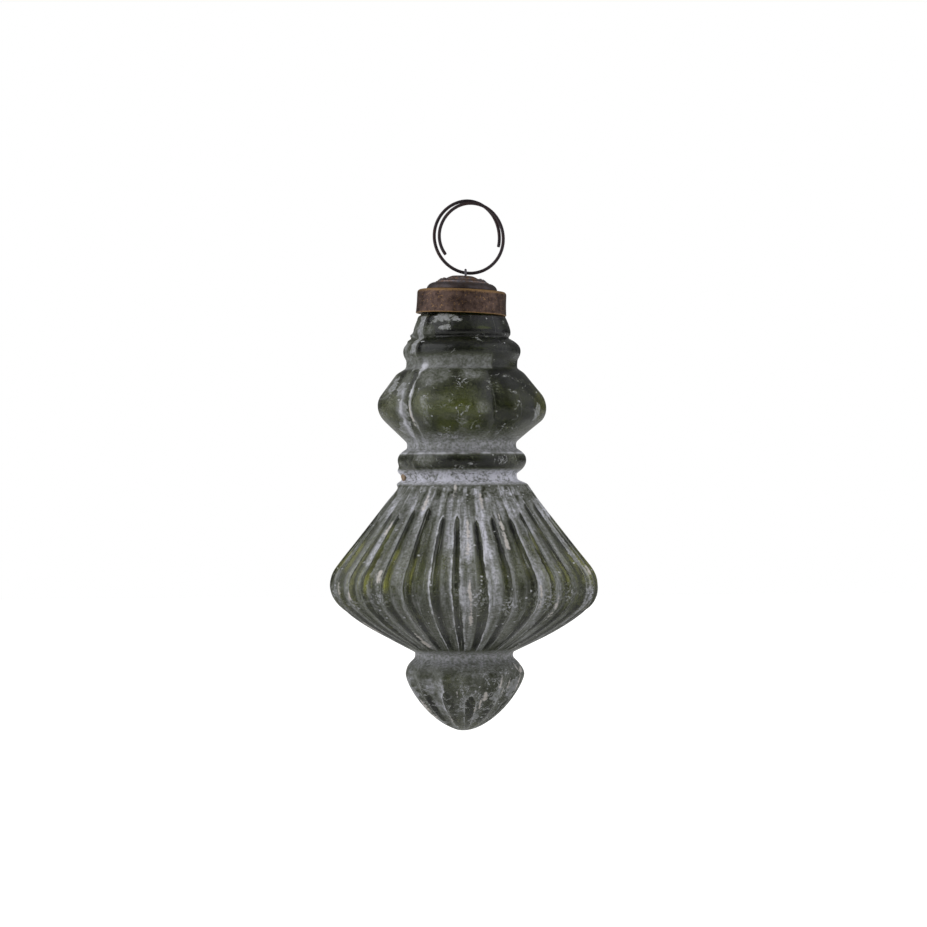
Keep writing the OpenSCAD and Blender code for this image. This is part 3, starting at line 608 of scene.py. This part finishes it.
# Spots on the glass: degrees round from the front, millimetres down from the band to the middle, half
# width and half height. Flakes are scraps of film that wiping left; the glass is pale and glows at the
# thin spots; haze is a soft bloom of film; scribbles are wisps and specks that dried in curls; frost is
# grainy dried wash along the belly's rim.
FLAKES = [(-24, 1.5, 3.6, 1.6), (-22, 4.0, 2.4, 1.0), (115, 2.5, 4, 2), (-110, 3, 3, 2), (-66, 20, 2.2, 3.0),
          (60, 27, 1.8, 2.4), (-150, 22, 4, 3), (110, 24, 3, 4), (-48, 27, 1.6, 3), (-57, 32, 2, 2.5),
          (-54, 21, 1.5, 2.5), (38, 104, 1.6, 3), (62, 102, 2.5, 4), (-72, 104, 2.5, 5), (-60, 112, 4, 2),
          (20, 111, 1.5, 1.5)]
THIN_SPOTS = [(28, 4.8, 5, 2.2), (150, 4.5, 9, 5), (4, 28, 6, 6), (-14, 31, 4, 4), (165, 30, 5, 5),
              (-58, 72.5, 1.6, 5), (-34, 74, 1.6, 5), (60, 78, 1.8, 2.4), (120, 74, 2, 5), (-150, 73, 2, 5),
              (-8, 66, 3, 7), (15, 60, 2, 5), (-22, 60, 2, 6), (32, 63, 2, 6), (-46, 62, 2, 5),
              (-4, 101, 3, 5), (14, 106, 2, 4), (-16, 100, 2, 3)]
HAZES = [(-41, 5, 2.5, 2.5), (-72, 4, 6, 5), (-75, 10, 7, 4), (-24, 17.5, 8, 4.5), (-80, 19, 7, 5),
         (10, 17, 6, 3), (-68, 21, 5, 5), (0, 31, 2.5, 5), (14, 26, 4, 3), (-28, 27, 3, 8), (150, 18, 9, 4),
         (-150, 20, 8, 5), (100, 32, 8, 4), (-35, 40, 5, 3), (-60, 47, 9, 3), (55, 47.5, 9, 3),
         (-20, 47, 5, 2.5), (2, 47.5, 3, 2), (24, 47.5, 4, 2.5), (100, 47, 9, 3), (-120, 47, 9, 3),
         (160, 47, 9, 3), (-66, 100, 7, 6), (-28, 102, 3, 4), (46, 100, 5, 4), (130, 102, 9, 6),
         (-120, 101, 9, 6)]
SCRIBBLES = [(0, 19, 2.5, 2.5), (40, 22.5, 2, 3.5), (2, 29, 5, 5), (-12, 33, 4, 3), (38, 31, 3, 4),
             (150, 28, 6, 6), (35, 40, 4, 3), (40, 103, 12, 11), (8, 105, 7, 7), (60, 107, 9, 9),
             (-55, 105, 8, 8), (-25, 107, 5, 6), (-140, 104, 7, 7)]
FROSTS = [(3, 77, 9, 8), (20, 79, 9, 6), (36, 77, 9, 8), (53, 76, 9, 7), (72, 77, 9, 9), (-40, 77, 8, 6),
          (-60, 79, 8, 6), (-78, 77, 8, 6), (105, 77, 12, 8), (135, 76, 12, 7), (165, 78, 12, 8),
          (-160, 78, 12, 8), (-120, 77, 12, 7)]
FAR_OUTSIDE = -3.0


def waver(theta, along, size, waves, seed):
    """Slow handmade unevenness: a few waves round and along the glass."""
    draw = np.random.default_rng(seed)
    out = 0
    for k in range(1, waves + 1):
        out = out + np.sin(k * theta + along * draw.uniform(0.03, 0.2) + draw.uniform(0, 6.28)) / k
    return size * out


def facing(theta, degrees):
    """How far round a place is from an azimuth, which is given in degrees from the front."""
    return (theta - FRONT - math.radians(degrees) + math.pi) % (2 * math.pi) - math.pi


def deposits(theta, depth, radius):
    """Nearness to the middle of a run: 1 on its centre line, 0 at its edge, less outside."""
    runs = list(RUNS)
    for _ in range(STREWN_RUNS):
        runs.append([chance.uniform(*limits) for limits in STREWN_WITHIN])
    near = np.full(np.broadcast(theta, depth).shape, FAR_OUTSIDE)
    for azimuth, top, length, half_width in runs:
        below = np.maximum(np.maximum(top - depth, depth - top - length), 0)
        share = np.clip((depth - top) / length, 0, 1)
        away = np.hypot(facing(theta, azimuth) * radius, below)
        near = np.maximum(near, 1 - away / (half_width * (0.65 + 0.45 * share)))
    return near


def spots(places, theta, depth, radius):
    """Nearness to the middle of a spot: 1 in its middle, 0 at its edge, less outside."""
    near = np.full(np.broadcast(theta, depth).shape, FAR_OUTSIDE)
    for azimuth, middle, half_width, half_height in places:
        away = np.hypot(facing(theta, azimuth) * radius / half_width, (depth - middle) / half_height)
        near = np.maximum(near, 1 - away)
    return near


def dried_lumps(theta, depth, radius):
    """How far the lumps of dried wash stand proud of the glass, and how white they are."""
    proud, white = 0, 0
    for azimuth, level, height, half_width, half_height, whiteness in LUMPS:
        sideways, down = facing(theta, azimuth) * radius / half_width, (depth - level) / half_height
        here = np.exp(-sideways ** 4 - down ** 4)
        proud, white = proud + height * here, np.maximum(white, whiteness * here)
    return proud, white


def held_wash(depth, bare):
    """Wash that caked in the grooves and pooled below them, less what was wiped off."""
    groove, pool = 0, 0
    for level, held, above, below in GROOVES:
        for (reach, power), part in ((above, level - depth), (below, depth - level)):
            groove = np.maximum(groove, (part >= 0) * held * np.exp(-np.maximum(part / reach, 0) ** power))
    for level, held in POOLS:
        pool = np.maximum(pool, held * np.exp(-((depth - level) / POOL_HALF_HEIGHT) ** 2))
    left = 1 - 0.95 * bare * (depth < THROAT + 3)
    return groove * left, pool * left


def channels(turn, count, stray, wander):
    """The channel that each place is in, and where across it: -1 and 1 on its ridges, 0 in its middle."""
    ridges = np.arange(count + 1) + np.pad(chance.uniform(-stray, stray, count - 1), 1)
    place = np.interp((turn + wander) % (2 * math.pi), ridges * 2 * math.pi / count, np.arange(count + 1))
    number = np.minimum(place.astype(int), count - 1)
    return number, 2 * (place - number) - 1


def front_edge(number, side, count):
    """1 on the edge of a channel that is nearer the front, -1 on its other edge."""
    middle = SEAM_AZIMUTH - FRONT + (number + 0.5) * 2 * math.pi / count
    return -side * np.sign(np.sin(middle))


def bridged(number, side, count, depth, top, spread):
    """1 where the film lies across a ridge, above a level that each ridge has for itself, and 0 below it."""
    start = top + chance.uniform(0, spread, count + 1)[number + (side > 0)]
    return smooth(start + 4, start, depth)


def washed(number, side, count):
    """How each channel took the wash: the film it holds, and the crust heaped along its two edges. Film and
    crust are heavier on the edge nearer the front, which is partly crust and partly a painted highlight of
    the side-lit wall."""
    near = front_edge(number, side, count)
    luck = chance.uniform(-0.1, 0.9, count)[number] + 0.35 * near
    well = chance.uniform(0.45, 1.3, count)[number]
    badly = chance.uniform(-0.4, 0.7, count)[number]
    return luck, np.clip(np.where(near > 0, well, badly), 0, 1)


def inner_wall(along, depth, radius, flute, fluting, lobing):
    """Depths and radii of the wall's inside: the outline drawn in along its slope, with softer relief."""
    slope_d, slope_r = (np.gradient(values[:, 0], along[:, 0]) for values in (depth, radius))
    slope = np.hypot(slope_d, slope_r) + 1e-9
    inner_d = depth[:, 0] + GLASS_WALL * slope_r / slope
    inner_r = radius[:, 0] - GLASS_WALL * slope_d / slope - INNER_FLUTES * FLUTE_DEPTH * flute[:, 0]
    keep = (inner_r > LEAST_INNER_R) & (np.arange(len(depth)) % 2 == 0)
    inner_d[0] = depth[0, 0]
    inner_r = inner_r[keep][:, None] - INNER_FLUTING * fluting[keep] - INNER_LOBING * lobing[keep]
    return inner_d[keep][:, None], inner_r


def glass_mesh(theta, depth, outer_r, inner_d, inner_r):
    """The blown wall as one closed mesh: its outside from the mouth to the tip, and then its inside."""
    def points(d, r):
        x = AXIS_X + np.interp(d, WANDER_AT, WANDER_BY) + r * np.cos(theta)
        return np.stack([x, r * np.sin(theta), np.broadcast_to(BAND_BOTTOM - d, r.shape)], -1).reshape(-1, 3)

    ends = [[AXIS_X, 0, BAND_BOTTOM - depth[-1, 0]], [AXIS_X, 0, BAND_BOTTOM - inner_d[-1, 0] - PIT_DROP]]
    vertices = np.concatenate([points(depth[:-1], outer_r[:-1]), points(inner_d, inner_r), ends]) * MM
    rows, inner_rows = len(depth) - 1, len(inner_d)
    last, start = (rows - 1) * COLUMNS, rows * COLUMNS
    inner_last = start + (inner_rows - 1) * COLUMNS
    tip, pit = len(vertices) - 2, len(vertices) - 1
    faces = grid_faces(rows, COLUMNS)
    inner_faces = [face[::-1] for face in grid_faces(inner_rows, COLUMNS, start)]
    for j in range(COLUMNS):
        k = (j + 1) % COLUMNS
        faces.append([last + j, tip, last + k])
        inner_faces.append([inner_last + k, pit, inner_last + j])
        inner_faces.append([start + j, j, k, start + k])
    slots = [0] * len(faces) + [1] * len(inner_faces)
    materials = [limewashed_glass(), clear_inner_glass()]
    return mesh_object("glass_drop", vertices, faces + inner_faces, materials, slots)


def make_glass():
    """The glass: its relief and its closed wall, and then what the wash did at each place of it."""
    along, depth, radius = (values[:, None] for values in glass_outline())
    theta = SEAM_AZIMUTH + np.linspace(0, 2 * math.pi, COLUMNS, endpoint=False)[None, :]
    turn = theta - SEAM_AZIMUTH
    from_front = facing(theta, 0)

    # Where each relief is strong along the wall
    flute = smooth(BROW_LEVEL - 0.4, BROW_LEVEL + 4, depth) * smooth(ANKLE - 1, ANKLE - 4, depth)
    flute = flute * radius / BELLY["r"]
    on_bulb = (depth > THROAT) & (depth < WAIST)
    lobe = np.where(on_bulb, np.clip((radius - THROAT_R) / (BULB["r"] - THROAT_R), 0, 1), 0)
    tip = smooth(ANKLE + 1.5, FINIAL_LEVEL, depth) * radius / FINIAL["r"]

    # Relief round the glass
    channel, side = channels(turn, FLUTES, FLUTE_STRAY, waver(theta, along, size=0.006, waves=5, seed=7))
    tip_channel, tip_side = channels(turn, FINIAL_FLUTES, FINIAL_STRAY, 0)
    flute_depth = FLUTE_DEPTH * (1 + FLUTE_VARIES * chance.uniform(-1, 1, FLUTES)[channel])
    scoop = ((1 + np.cos(math.pi * side)) / 2) ** FLUTE_BROAD
    fluting = flute_depth * flute * scoop + FINIAL_FLUTE_DEPTH * tip * (1 + np.cos(math.pi * tip_side)) / 2
    furrow = (1 - np.sin(math.pi * (turn * LOBES / (2 * math.pi) % 1))) ** 2
    lobing = LOBE_DEPTH * lobe * furrow
    from_seam = ((turn + math.pi / 2) % math.pi - math.pi / 2) * radius
    seam = SEAM_HEIGHT * (1 + SEAM_TALLER * (depth < THROAT)) * np.exp(-(from_seam / SEAM_HALF_WIDTH) ** 2)
    seam = seam * smooth(0.3, 1.5, depth)
    sideways = facing(theta, NOTCH["azimuth"]) * radius / NOTCH["half_width"]
    down = (depth - SHOULDER["h"] + NOTCH["above"]) / NOTCH["half_height"]
    notch = NOTCH["depth"] * np.exp(-sideways ** 2 - down ** 2)
    uneven = waver(theta, along, size=0.1, waves=4, seed=3) * (depth > 1) * np.minimum(1, radius / 8)
    deposit = deposits(theta, depth, radius)
    lump, lump_white = dried_lumps(theta, depth, radius)
    proud = RUN_PROUD * smooth(0, 0.8, deposit) + lump
    outer_r = np.maximum(radius - notch - fluting - lobing + seam + np.minimum(uneven, 0) + proud, 0)
    inner_d, inner_r = inner_wall(along, depth, radius, flute, fluting, lobing)
    glass = glass_mesh(theta, depth, outer_r, inner_d, inner_r)

    # How the channels took the wash: drips hang from the brow, and below the rim there is less film, which is
    # painted shade that darkens the downward-facing lower cone
    on_tip = depth > ANKLE
    luck, crust_and_lit_edge = washed(channel, side, FLUTES)
    luck = luck - 0.2 * smooth(BELLY_LEVEL + 2, BELLY_LEVEL + 8, depth)
    drip_end = BROW_LEVEL + chance.uniform(*DRIPS, FLUTES)[channel] - 5 * side ** 2
    luck = luck + 0.65 * smooth(drip_end + 1, drip_end - 1, depth)
    tip_luck, tip_crust_and_lit_edge = washed(tip_channel, tip_side, FINIAL_FLUTES)
    tip_bridge = bridged(tip_channel, tip_side, FINIAL_FLUTES, depth, FINIAL_LEVEL + 0.5, 2.5)
    bridge = bridged(channel, side, FLUTES, depth, BROW_LEVEL + 1.5, 6)
    narrower = 0.9 + 0.14 * smooth(BELLY_LEVEL + 2, BELLY_LEVEL + 10, depth)
    fluted = smooth(BROW_LEVEL - 0.6, BROW_LEVEL + 1, depth) * smooth(ANKLE - 1, ANKLE - 3, depth)
    fluted = fluted + smooth(ANKLE + 2, FINIAL_LEVEL + 1, depth)

    # Where wiping and handling left film, crust and spattered wash, where glints are painted round the rim,
    # and where the glass is pale
    bare = smooth(BARE_FROM - BARE_EDGE, BARE_FROM, from_front)
    bare = bare * smooth(BARE_TO, BARE_TO - BARE_FADE, from_front)
    groove, pool = held_wash(depth, bare)
    above_throat = depth < THROAT - 1
    finial_haze = np.maximum(np.exp(-((depth - FINIAL_LEVEL + 1.5) / 3.5) ** 2), 0.06 * on_tip)
    # Painted glints: white grains on the ridges round the belly's rim stand in for glints of light.
    rim_glints = np.exp(-((depth - BELLY_LEVEL) / 6) ** 2) * (0.35 + 0.65 * smooth(0.5, 0.9, np.abs(side)))
    scraped = np.exp(-((depth - BROW_LEVEL - 1) / 4) ** 2) * (0.5 + 0.5 * smooth(-0.6, 0, from_front))
    lobe_glow = np.array(LOBE_GLOW)[(turn * LOBES / (2 * math.pi)).astype(int)]
    thin = lobe_glow * lobe ** 1.5 * (1 - furrow) + 0.5 * np.exp(-((depth - BELLY_LEVEL + 5) / 9) ** 2)
    thin_spot = smooth(0, 1, spots(THIN_SPOTS, theta, depth, radius))
    marks = {
        "across": np.abs(np.where(on_tip, 1.12 * tip_side, narrower * side)),
        "bridge": np.where(on_tip, tip_bridge, bridge),
        "fluted": fluted,
        "brushed": np.where(on_tip, 0.25, 1.0),
        "channel_luck": np.where(on_tip, tip_luck - 0.1, luck),
        "crust_and_lit_edge": np.where(on_tip, tip_crust_and_lit_edge, crust_and_lit_edge) * fluted,
        "groove": np.maximum(groove, lump_white),
        "pool": pool,
        "from_seam": from_seam,
        "rib": smooth(0.3, 0.8, depth) * smooth(THROAT - 1, THROAT - 3, depth) + 0.6 * lobe ** 0.3,
        "furrow": smooth(THROAT - 1, THROAT + 1, depth) * smooth(WAIST + 2, WAIST - 1, depth),
        "deposit": deposit,
        "flake": spots(FLAKES, theta, depth, radius),
        "haze": np.maximum(finial_haze, smooth(0, 0.7, spots(HAZES, theta, depth, radius))),
        "wiped": np.maximum(0.8 * above_throat, bare * (depth < WAIST - 2)) + smooth(0.1, 0.5, flute),
        "scribbled": smooth(0, 0.6, spots(SCRIBBLES, theta, depth, radius)),
        "scraped": scraped,
        "spatter_and_glints": scraped + 0.7 * rim_glints,
        "frost": 0.75 * smooth(0, 1.1, spots(FROSTS, theta, depth, radius)),
        "thinness": thin - 0.5 * above_throat + (1.2 + 0.7 * above_throat) * thin_spot,
    }
    # The inside and the two ends have no wash, so they get a value that means none.
    no_wash = {"across": 1, "deposit": -1, "flake": -1}
    rows = len(depth) - 1
    spare = len(glass.data.vertices) - rows * COLUMNS

    def keep(name, values, fill):
        outside = np.broadcast_to(values[:-1], (rows, COLUMNS) + values.shape[2:])
        outside = outside.reshape(rows * COLUMNS, -1)
        others = np.broadcast_to(fill, (spare, outside.shape[1]))
        store(glass, name, np.concatenate([outside, others]).squeeze())

    for name in WASH_MARKS:
        keep(name, marks[name], no_wash.get(name, 0))
    for name, r in (("wash_flow", FLOW_R), ("wash_place", np.maximum(radius, LEAST_PATTERN_R))):
        places = np.broadcast_arrays(r * np.cos(theta), r * np.sin(theta), -along)
        keep(name, np.stack(places, -1) * MM, (0, 0, -along[-1, 0] * MM))
    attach(glass, "bauble")
    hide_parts("glass_body")


make_glass()


# Cap: the band and the crown sit a little askew on the neck
CAP_TILT = math.radians(2.5)
CAP_COLUMNS = 192
BAND = {"r": 12.35, "wall": 0.6, "edge": 0.9, "ease": 0.1, "flare": 0.2, "foot": 0.12, "seat_r": 9.85}
CROWN = {"dome_r": 9.8, "dome_h": 2.2, "rosette_r": 7.2, "rosette_h": 1.0, "boss_r": 4.5, "boss_top_r": 2.9,
         "middle_r": 0.3, "ledge": 0.3, "bead": 0.18, "petal_h": 0.85, "petal_reach": 1.3, "gadroon": 0.12}
PETALS, GADROONS = 12, 16


def revolve(name, outline, material, node, shape):
    """A turned piece of the cap: outline holds radius, height and wear, which shape moves round the turn."""
    r, z, wear = (np.array(column)[:, None] for column in zip(*outline))
    theta = np.linspace(0, 2 * math.pi, CAP_COLUMNS, endpoint=False)[None, :]
    r, z, wear = (np.broadcast_to(v, (len(outline), CAP_COLUMNS)) for v in shape(r, z, wear, theta))
    vertices = np.stack([r * np.cos(theta), r * np.sin(theta), z], -1).reshape(-1, 3)
    tilt = np.array(Matrix.Rotation(CAP_TILT, 3, "Y"))
    middle = np.array([0, 0, (BAND_TOP + BAND_BOTTOM) / 2])
    vertices = (vertices - middle) @ tilt.T + middle + np.array([AXIS_X, 0, 0])
    make_faces = grid_faces if outline[0] == outline[-1] else capped_faces
    faces = make_faces(len(outline), CAP_COLUMNS)
    piece = mesh_object(name, vertices * MM, faces, [material])
    store(piece, "wear", wear.ravel())
    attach(piece, "bauble")
    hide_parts(node)


def make_band():
    outer, inner = BAND["r"], BAND["r"] - BAND["wall"]
    seat, ease = BAND["seat_r"], BAND["ease"]
    outline = [(seat, BAND_TOP - BAND["wall"], 0), (seat, BAND_TOP - ease, 0.3)]
    outline += [(r, BAND_TOP, 0.35) for r in np.linspace(seat + ease, outer - BAND["edge"], 4)]
    for a in np.linspace(80, 0, 8):
        corner = math.radians(a)
        outline.append((outer - BAND["edge"] * (1 - math.cos(corner)),
                        BAND_TOP - BAND["edge"] * (1 - math.sin(corner)), 0.25 + 0.6 * math.sin(corner)))
    for t in np.linspace(0.05, 1, 16):
        z = BAND_TOP - BAND["edge"] - t * (BAND_TOP - BAND["edge"] - BAND_BOTTOM - BAND["foot"])
        wear = 0.16 * (1 - t) ** 4 + 0.5 * max(0, t - 0.93) / 0.07
        outline.append((outer + BAND["flare"] * t ** 3, z, wear))
    outline.append((outer + BAND["flare"] - ease, BAND_BOTTOM, 0.8))
    outline.append((inner + BAND["flare"], BAND_BOTTOM, 0.5))
    outline.append((inner, BAND_BOTTOM + 1, 0))
    outline.append((inner, BAND_TOP - BAND["wall"], 0))
    outline.append(outline[0])

    def dented(r, z, wear, theta):
        wall = r > inner + 0.05
        r = r + wall * np.minimum(waver(theta, z, size=0.04, waves=7, seed=11), 0)
        dip = np.abs(waver(theta, 0, size=0.05, waves=6, seed=12))
        z = z - (z > BAND_TOP - 1) * dip * (r > seat + 0.3)
        return r, z, wear

    revolve("cap_band_spun", outline, bronzed_brass(), "cap_band", dented)


def make_crown():
    dome_top = BAND_TOP + CROWN["dome_h"]
    rosette_top = dome_top + CROWN["rosette_h"]
    ledge = CROWN["rosette_r"] + CROWN["ledge"]
    under = BAND_TOP - BAND["ease"]
    outline = [(CROWN["middle_r"], under, 0), (CROWN["dome_r"] - 0.5, under, 0)]
    outline.append((CROWN["dome_r"], BAND_TOP, 0.1))
    for a in np.linspace(8, 78, 12):
        bend = math.radians(a)
        r = ledge + (CROWN["dome_r"] - ledge) * math.cos(bend)
        z = BAND_TOP + (CROWN["dome_h"] - 0.15) * math.sin(bend)
        outline.append((r, z, 0.05 + 0.3 * math.sin(bend) ** 6))
    for a in np.linspace(-50, 90, 7):
        bend = math.radians(a)
        r = CROWN["rosette_r"] + CROWN["bead"] * math.cos(bend)
        outline.append((r, dome_top + CROWN["bead"] * math.sin(bend), 0.75))
    for t in np.linspace(0.05, 1, 12):
        r = CROWN["rosette_r"] + (CROWN["boss_r"] - CROWN["rosette_r"]) * t
        outline.append((r, dome_top + (CROWN["rosette_h"] - 0.35) * t, 0.2))
    outline.append((CROWN["boss_r"], rosette_top, 0.7))
    for t in np.linspace(0.1, 1, 8):
        r = CROWN["boss_r"] + (CROWN["boss_top_r"] - CROWN["boss_r"]) * t ** 1.4
        outline.append((r, rosette_top + (CROWN_TOP - rosette_top - 0.05) * t ** 0.8, 0.25))
    outline.append((CROWN["middle_r"], CROWN_TOP - 0.05, 0.2))
    outline.reverse()

    def petalled(r, z, wear, theta):
        petals_r = (CROWN["rosette_r"] + CROWN["boss_r"]) / 2
        gadroons_r = (CROWN["boss_r"] + CROWN["boss_top_r"]) / 2
        ring = np.clip(1 - np.abs(r - petals_r) / CROWN["petal_reach"], 0, 1) * (z > dome_top)
        petal = np.abs(np.cos(theta * PETALS / 2)) ** 0.6
        z = z + CROWN["petal_h"] * ring ** 0.7 * petal
        boss = np.clip(1 - np.abs(r - gadroons_r) / (CROWN["boss_r"] - gadroons_r), 0, 1) * (z > rosette_top)
        gadroon = np.abs(np.cos(theta * GADROONS / 2)) ** 0.6
        r = r * (1 - CROWN["gadroon"] * boss * (1 - gadroon))
        # The raised petals and gadroons are painted lighter: rubbed bronze, and painted highlights.
        lit = wear + 0.65 * ring * petal ** 3 + 0.5 * boss * gadroon ** 3
        return r, np.minimum(z, CROWN_TOP), np.clip(lit, 0, 1)

    revolve("cap_crown_pressed", outline, blackened_brass(), "cap_crown", petalled)


make_band()
make_crown()


# A crumb of dried wash, tan like earth, is stuck in the groove above the belly on the left.
CRUMB_FROM_FRONT, CRUMB_PROUD, CRUMB_HALF = math.radians(-77), 1.5, (0.9, 0.9, 1.2)
CRUMB_ROWS, CRUMB_COLUMNS, CRUMB_END = 14, 24, 0.05


def make_crumb():
    theta = np.linspace(0, 2 * math.pi, CRUMB_COLUMNS, endpoint=False)[None, :]
    tilt = np.linspace(CRUMB_END, math.pi - CRUMB_END, CRUMB_ROWS)[:, None]
    lumpy = 1 + 0.14 * np.sin(3 * theta + 2 * tilt) + 0.1 * np.sin(5 * theta - 3 * tilt)
    ball = np.stack([CRUMB_HALF[0] * lumpy * np.sin(tilt) * np.cos(theta),
                     CRUMB_HALF[1] * lumpy * np.sin(tilt) * np.sin(theta),
                     np.broadcast_to(CRUMB_HALF[2] * np.cos(tilt), lumpy.shape)], -1).reshape(-1, 3)
    azimuth = FRONT + CRUMB_FROM_FRONT
    spin = np.array(Matrix.Rotation(azimuth, 3, "Z"))
    out = COLLAR_R + CRUMB_PROUD
    middle = np.array([AXIS_X + out * math.cos(azimuth), out * math.sin(azimuth), BAND_BOTTOM - COLLAR])
    faces = capped_faces(CRUMB_ROWS, CRUMB_COLUMNS)
    crumb = mesh_object("wash_crumb", (ball @ spin.T + middle) * MM, faces, [earthy_wash()])
    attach(crumb, "bauble")


make_crumb()


# Hanging ring: one length of wire wound about one and two thirds turns, its ends nested inside
RING_WIRE, RING_D, RING_STRETCH = 0.9, 19.2, 1.048
RING_TURNS, RING_START, RING_PITCH = 1.65, 217, 1.35
FIRST_NEST, LAST_NEST = 1.4, 1.05
# Where along its turns the wire's ends tuck in, and how far from the eyelet it starts to wobble
FIRST_TUCK, LAST_TUCK, WOBBLE_FROM = (0.60, 0.15), (1.32, 1.62), (0.12, 0.3)
RING_ROLL, RING_SHIFT, RING_SKEW = math.radians(1.6), 0.7, 0.04
RING_STEPS, WIRE_SIDES, RING_WOBBLE, CUT_END = 220, 18, 0.065, 0.82
# The turn that lies in the eyelet, and the levels of its wire and of the ring's middle, as in the solids
EYELET_TURN = (RING_START - 270 + 360) / 360
PIVOT_Z = -18.8665
RING_CENTRE_Z = -8.786


def make_ring():
    t = np.linspace(0, RING_TURNS, RING_STEPS)
    r = RING_D / 2 - FIRST_NEST * smooth(*FIRST_TUCK, t) - LAST_NEST * smooth(*LAST_TUCK, t)
    angle = np.radians(RING_START - 360 * t)
    r = r - RING_WOBBLE * (1 + np.sin(3 * angle + 1)) * smooth(*WOBBLE_FROM, np.abs(t - EYELET_TURN))
    path = np.stack([r * np.cos(angle), RING_PITCH * (t - EYELET_TURN),
                     RING_CENTRE_Z + RING_STRETCH * r * np.sin(angle)], -1)
    path[:, 0] -= RING_SKEW * (path[:, 2] - RING_CENTRE_Z)
    pivot = np.array([0, 0, PIVOT_Z])
    roll = np.array(Matrix.Rotation(RING_ROLL, 3, "Y"))
    path = (path - pivot) @ roll.T + pivot + np.array([RING_SHIFT, 0, 0])
    along = np.gradient(path, axis=0)
    along /= np.linalg.norm(along, axis=1)[:, None]
    sideways = np.cross(along, [0, 1, 0])
    sideways /= np.linalg.norm(sideways, axis=1)[:, None]
    across = np.cross(sideways, along)
    turn = np.linspace(0, 2 * math.pi, WIRE_SIDES, endpoint=False)
    gauge = np.full(RING_STEPS, RING_WIRE / 2)
    gauge[[0, -1]] *= CUT_END
    tube = path[:, None] + gauge[:, None, None] * (np.cos(turn)[None, :, None] * sideways[:, None]
                                                   + np.sin(turn)[None, :, None] * across[:, None])
    faces = capped_faces(RING_STEPS, WIRE_SIDES)
    ring = mesh_object("hanging_ring_wound", tube.reshape(-1, 3) * MM, faces,
                       [dark_wire("annealed_iron_wire_rusting", "#423b3e", "#5a3726", 0.45)])
    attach(ring, "ring")
    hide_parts("hanging_ring")


make_ring()


def dress(node, material):
    """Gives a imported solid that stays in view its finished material."""
    obj = next(o for o in bpy.data.objects if o.type == "MESH" and o.name.split(".")[0] == node)
    obj.data.materials.clear()
    obj.data.materials.append(material)


dress("eyelet", dark_wire("bright_drawn_iron_wire", "#6f6c72", "#4a3f3c", 0.5))
dress("cap_cement", plaster())


# Studio: a pale floor well below the hanging bauble, a white surround and two large soft lamps, in metres
FLOOR_DROP, FLOOR_HALF = 0.42, 6.0
DAYLIGHT = (0.95, 0.96, 1.0)


def floor_paint():
    """Matt paint, off-white and faintly mottled, which the camera sees almost white."""
    material, tree = new_material("pale_painted_floor")
    place = add(tree, "TexCoord", out="Object")
    mottle = add(tree, "TexNoise", {"Vector": place, "Scale": per_mm(500)})
    tone = add(tree, "Mix", {0: mottle, 6: linear("#c2c2c0"), 7: linear("#c8c8c6")},
               out=2, data_type="RGBA")
    seen = add(tree, "LightPath", out="Is Camera Ray")
    glow = add(tree, "Math", {0: seen, 1: 0.85}, operation="MULTIPLY")
    paint = add(tree, "BsdfPrincipled", {"Base Color": tone, "Roughness": 0.9,
                                         "Emission Color": linear("#ffffff"), "Emission Strength": glow})
    add(tree, "OutputMaterial", {"Surface": paint})
    return material


def make_floor():
    corners = [(FLOOR_HALF * x, FLOOR_HALF * y, -FLOOR_DROP) for x, y in ((-1, -1), (1, -1), (1, 1), (-1, 1))]
    floor = mesh_object("floor", corners, [[0, 1, 2, 3]], [floor_paint()])


def make_surround():
    """White to the camera and through the glass, dimmer below, and dimmed in what gloss reflects."""
    world = bpy.data.worlds.new("white_surround")
    scene.world = world
    world.use_nodes = True
    tree = world.node_tree
    tree.nodes.clear()
    ray = add(tree, "LightPath").node.outputs
    seen = add(tree, "Math", {0: ray["Is Camera Ray"], 1: ray["Is Transmission Ray"]}, operation="MAXIMUM")
    dim = add(tree, "Math", {0: ray["Is Glossy Ray"], 1: -0.75, 2: 1}, operation="MULTIPLY_ADD")
    way = add(tree, "TexCoord", out="Generated")
    up = add(tree, "SeparateXYZ", {"Vector": way}, out="Z")
    sky = add(tree, "MapRange", {"Value": up, "From Min": -0.3, "From Max": 1, "To Min": 0.12, "To Max": 1})
    sky = add(tree, "Math", {0: sky, 1: dim}, operation="MULTIPLY")
    strength = add(tree, "Math", {0: sky, 1: seen}, operation="MAXIMUM")
    surround = add(tree, "Background", {"Color": linear("#ffffff"), "Strength": strength})
    add(tree, "OutputWorld", {"Surface": surround})


def make_lamp(name, place, size, power):
    """A soft box that faces the middle of the bauble."""
    data = bpy.data.lights.new(name, "AREA")
    data.size = size
    data.energy = power
    data.color = DAYLIGHT
    lamp = bpy.data.objects.new(name, data)
    scene.collection.objects.link(lamp)
    lamp.location = place
    aim = Vector((AXIS_X * MM, 0, EYE_HEIGHT * MM)) - Vector(place)
    lamp.rotation_euler = aim.to_track_quat("-Z", "Y").to_euler()


make_floor()
make_surround()
make_lamp("soft_box_left", place=(-1.15, -0.35, 0.4), size=2.0, power=13)
make_lamp("soft_box_right", place=(1.2, -0.3, 0.4), size=2.0, power=7.5)
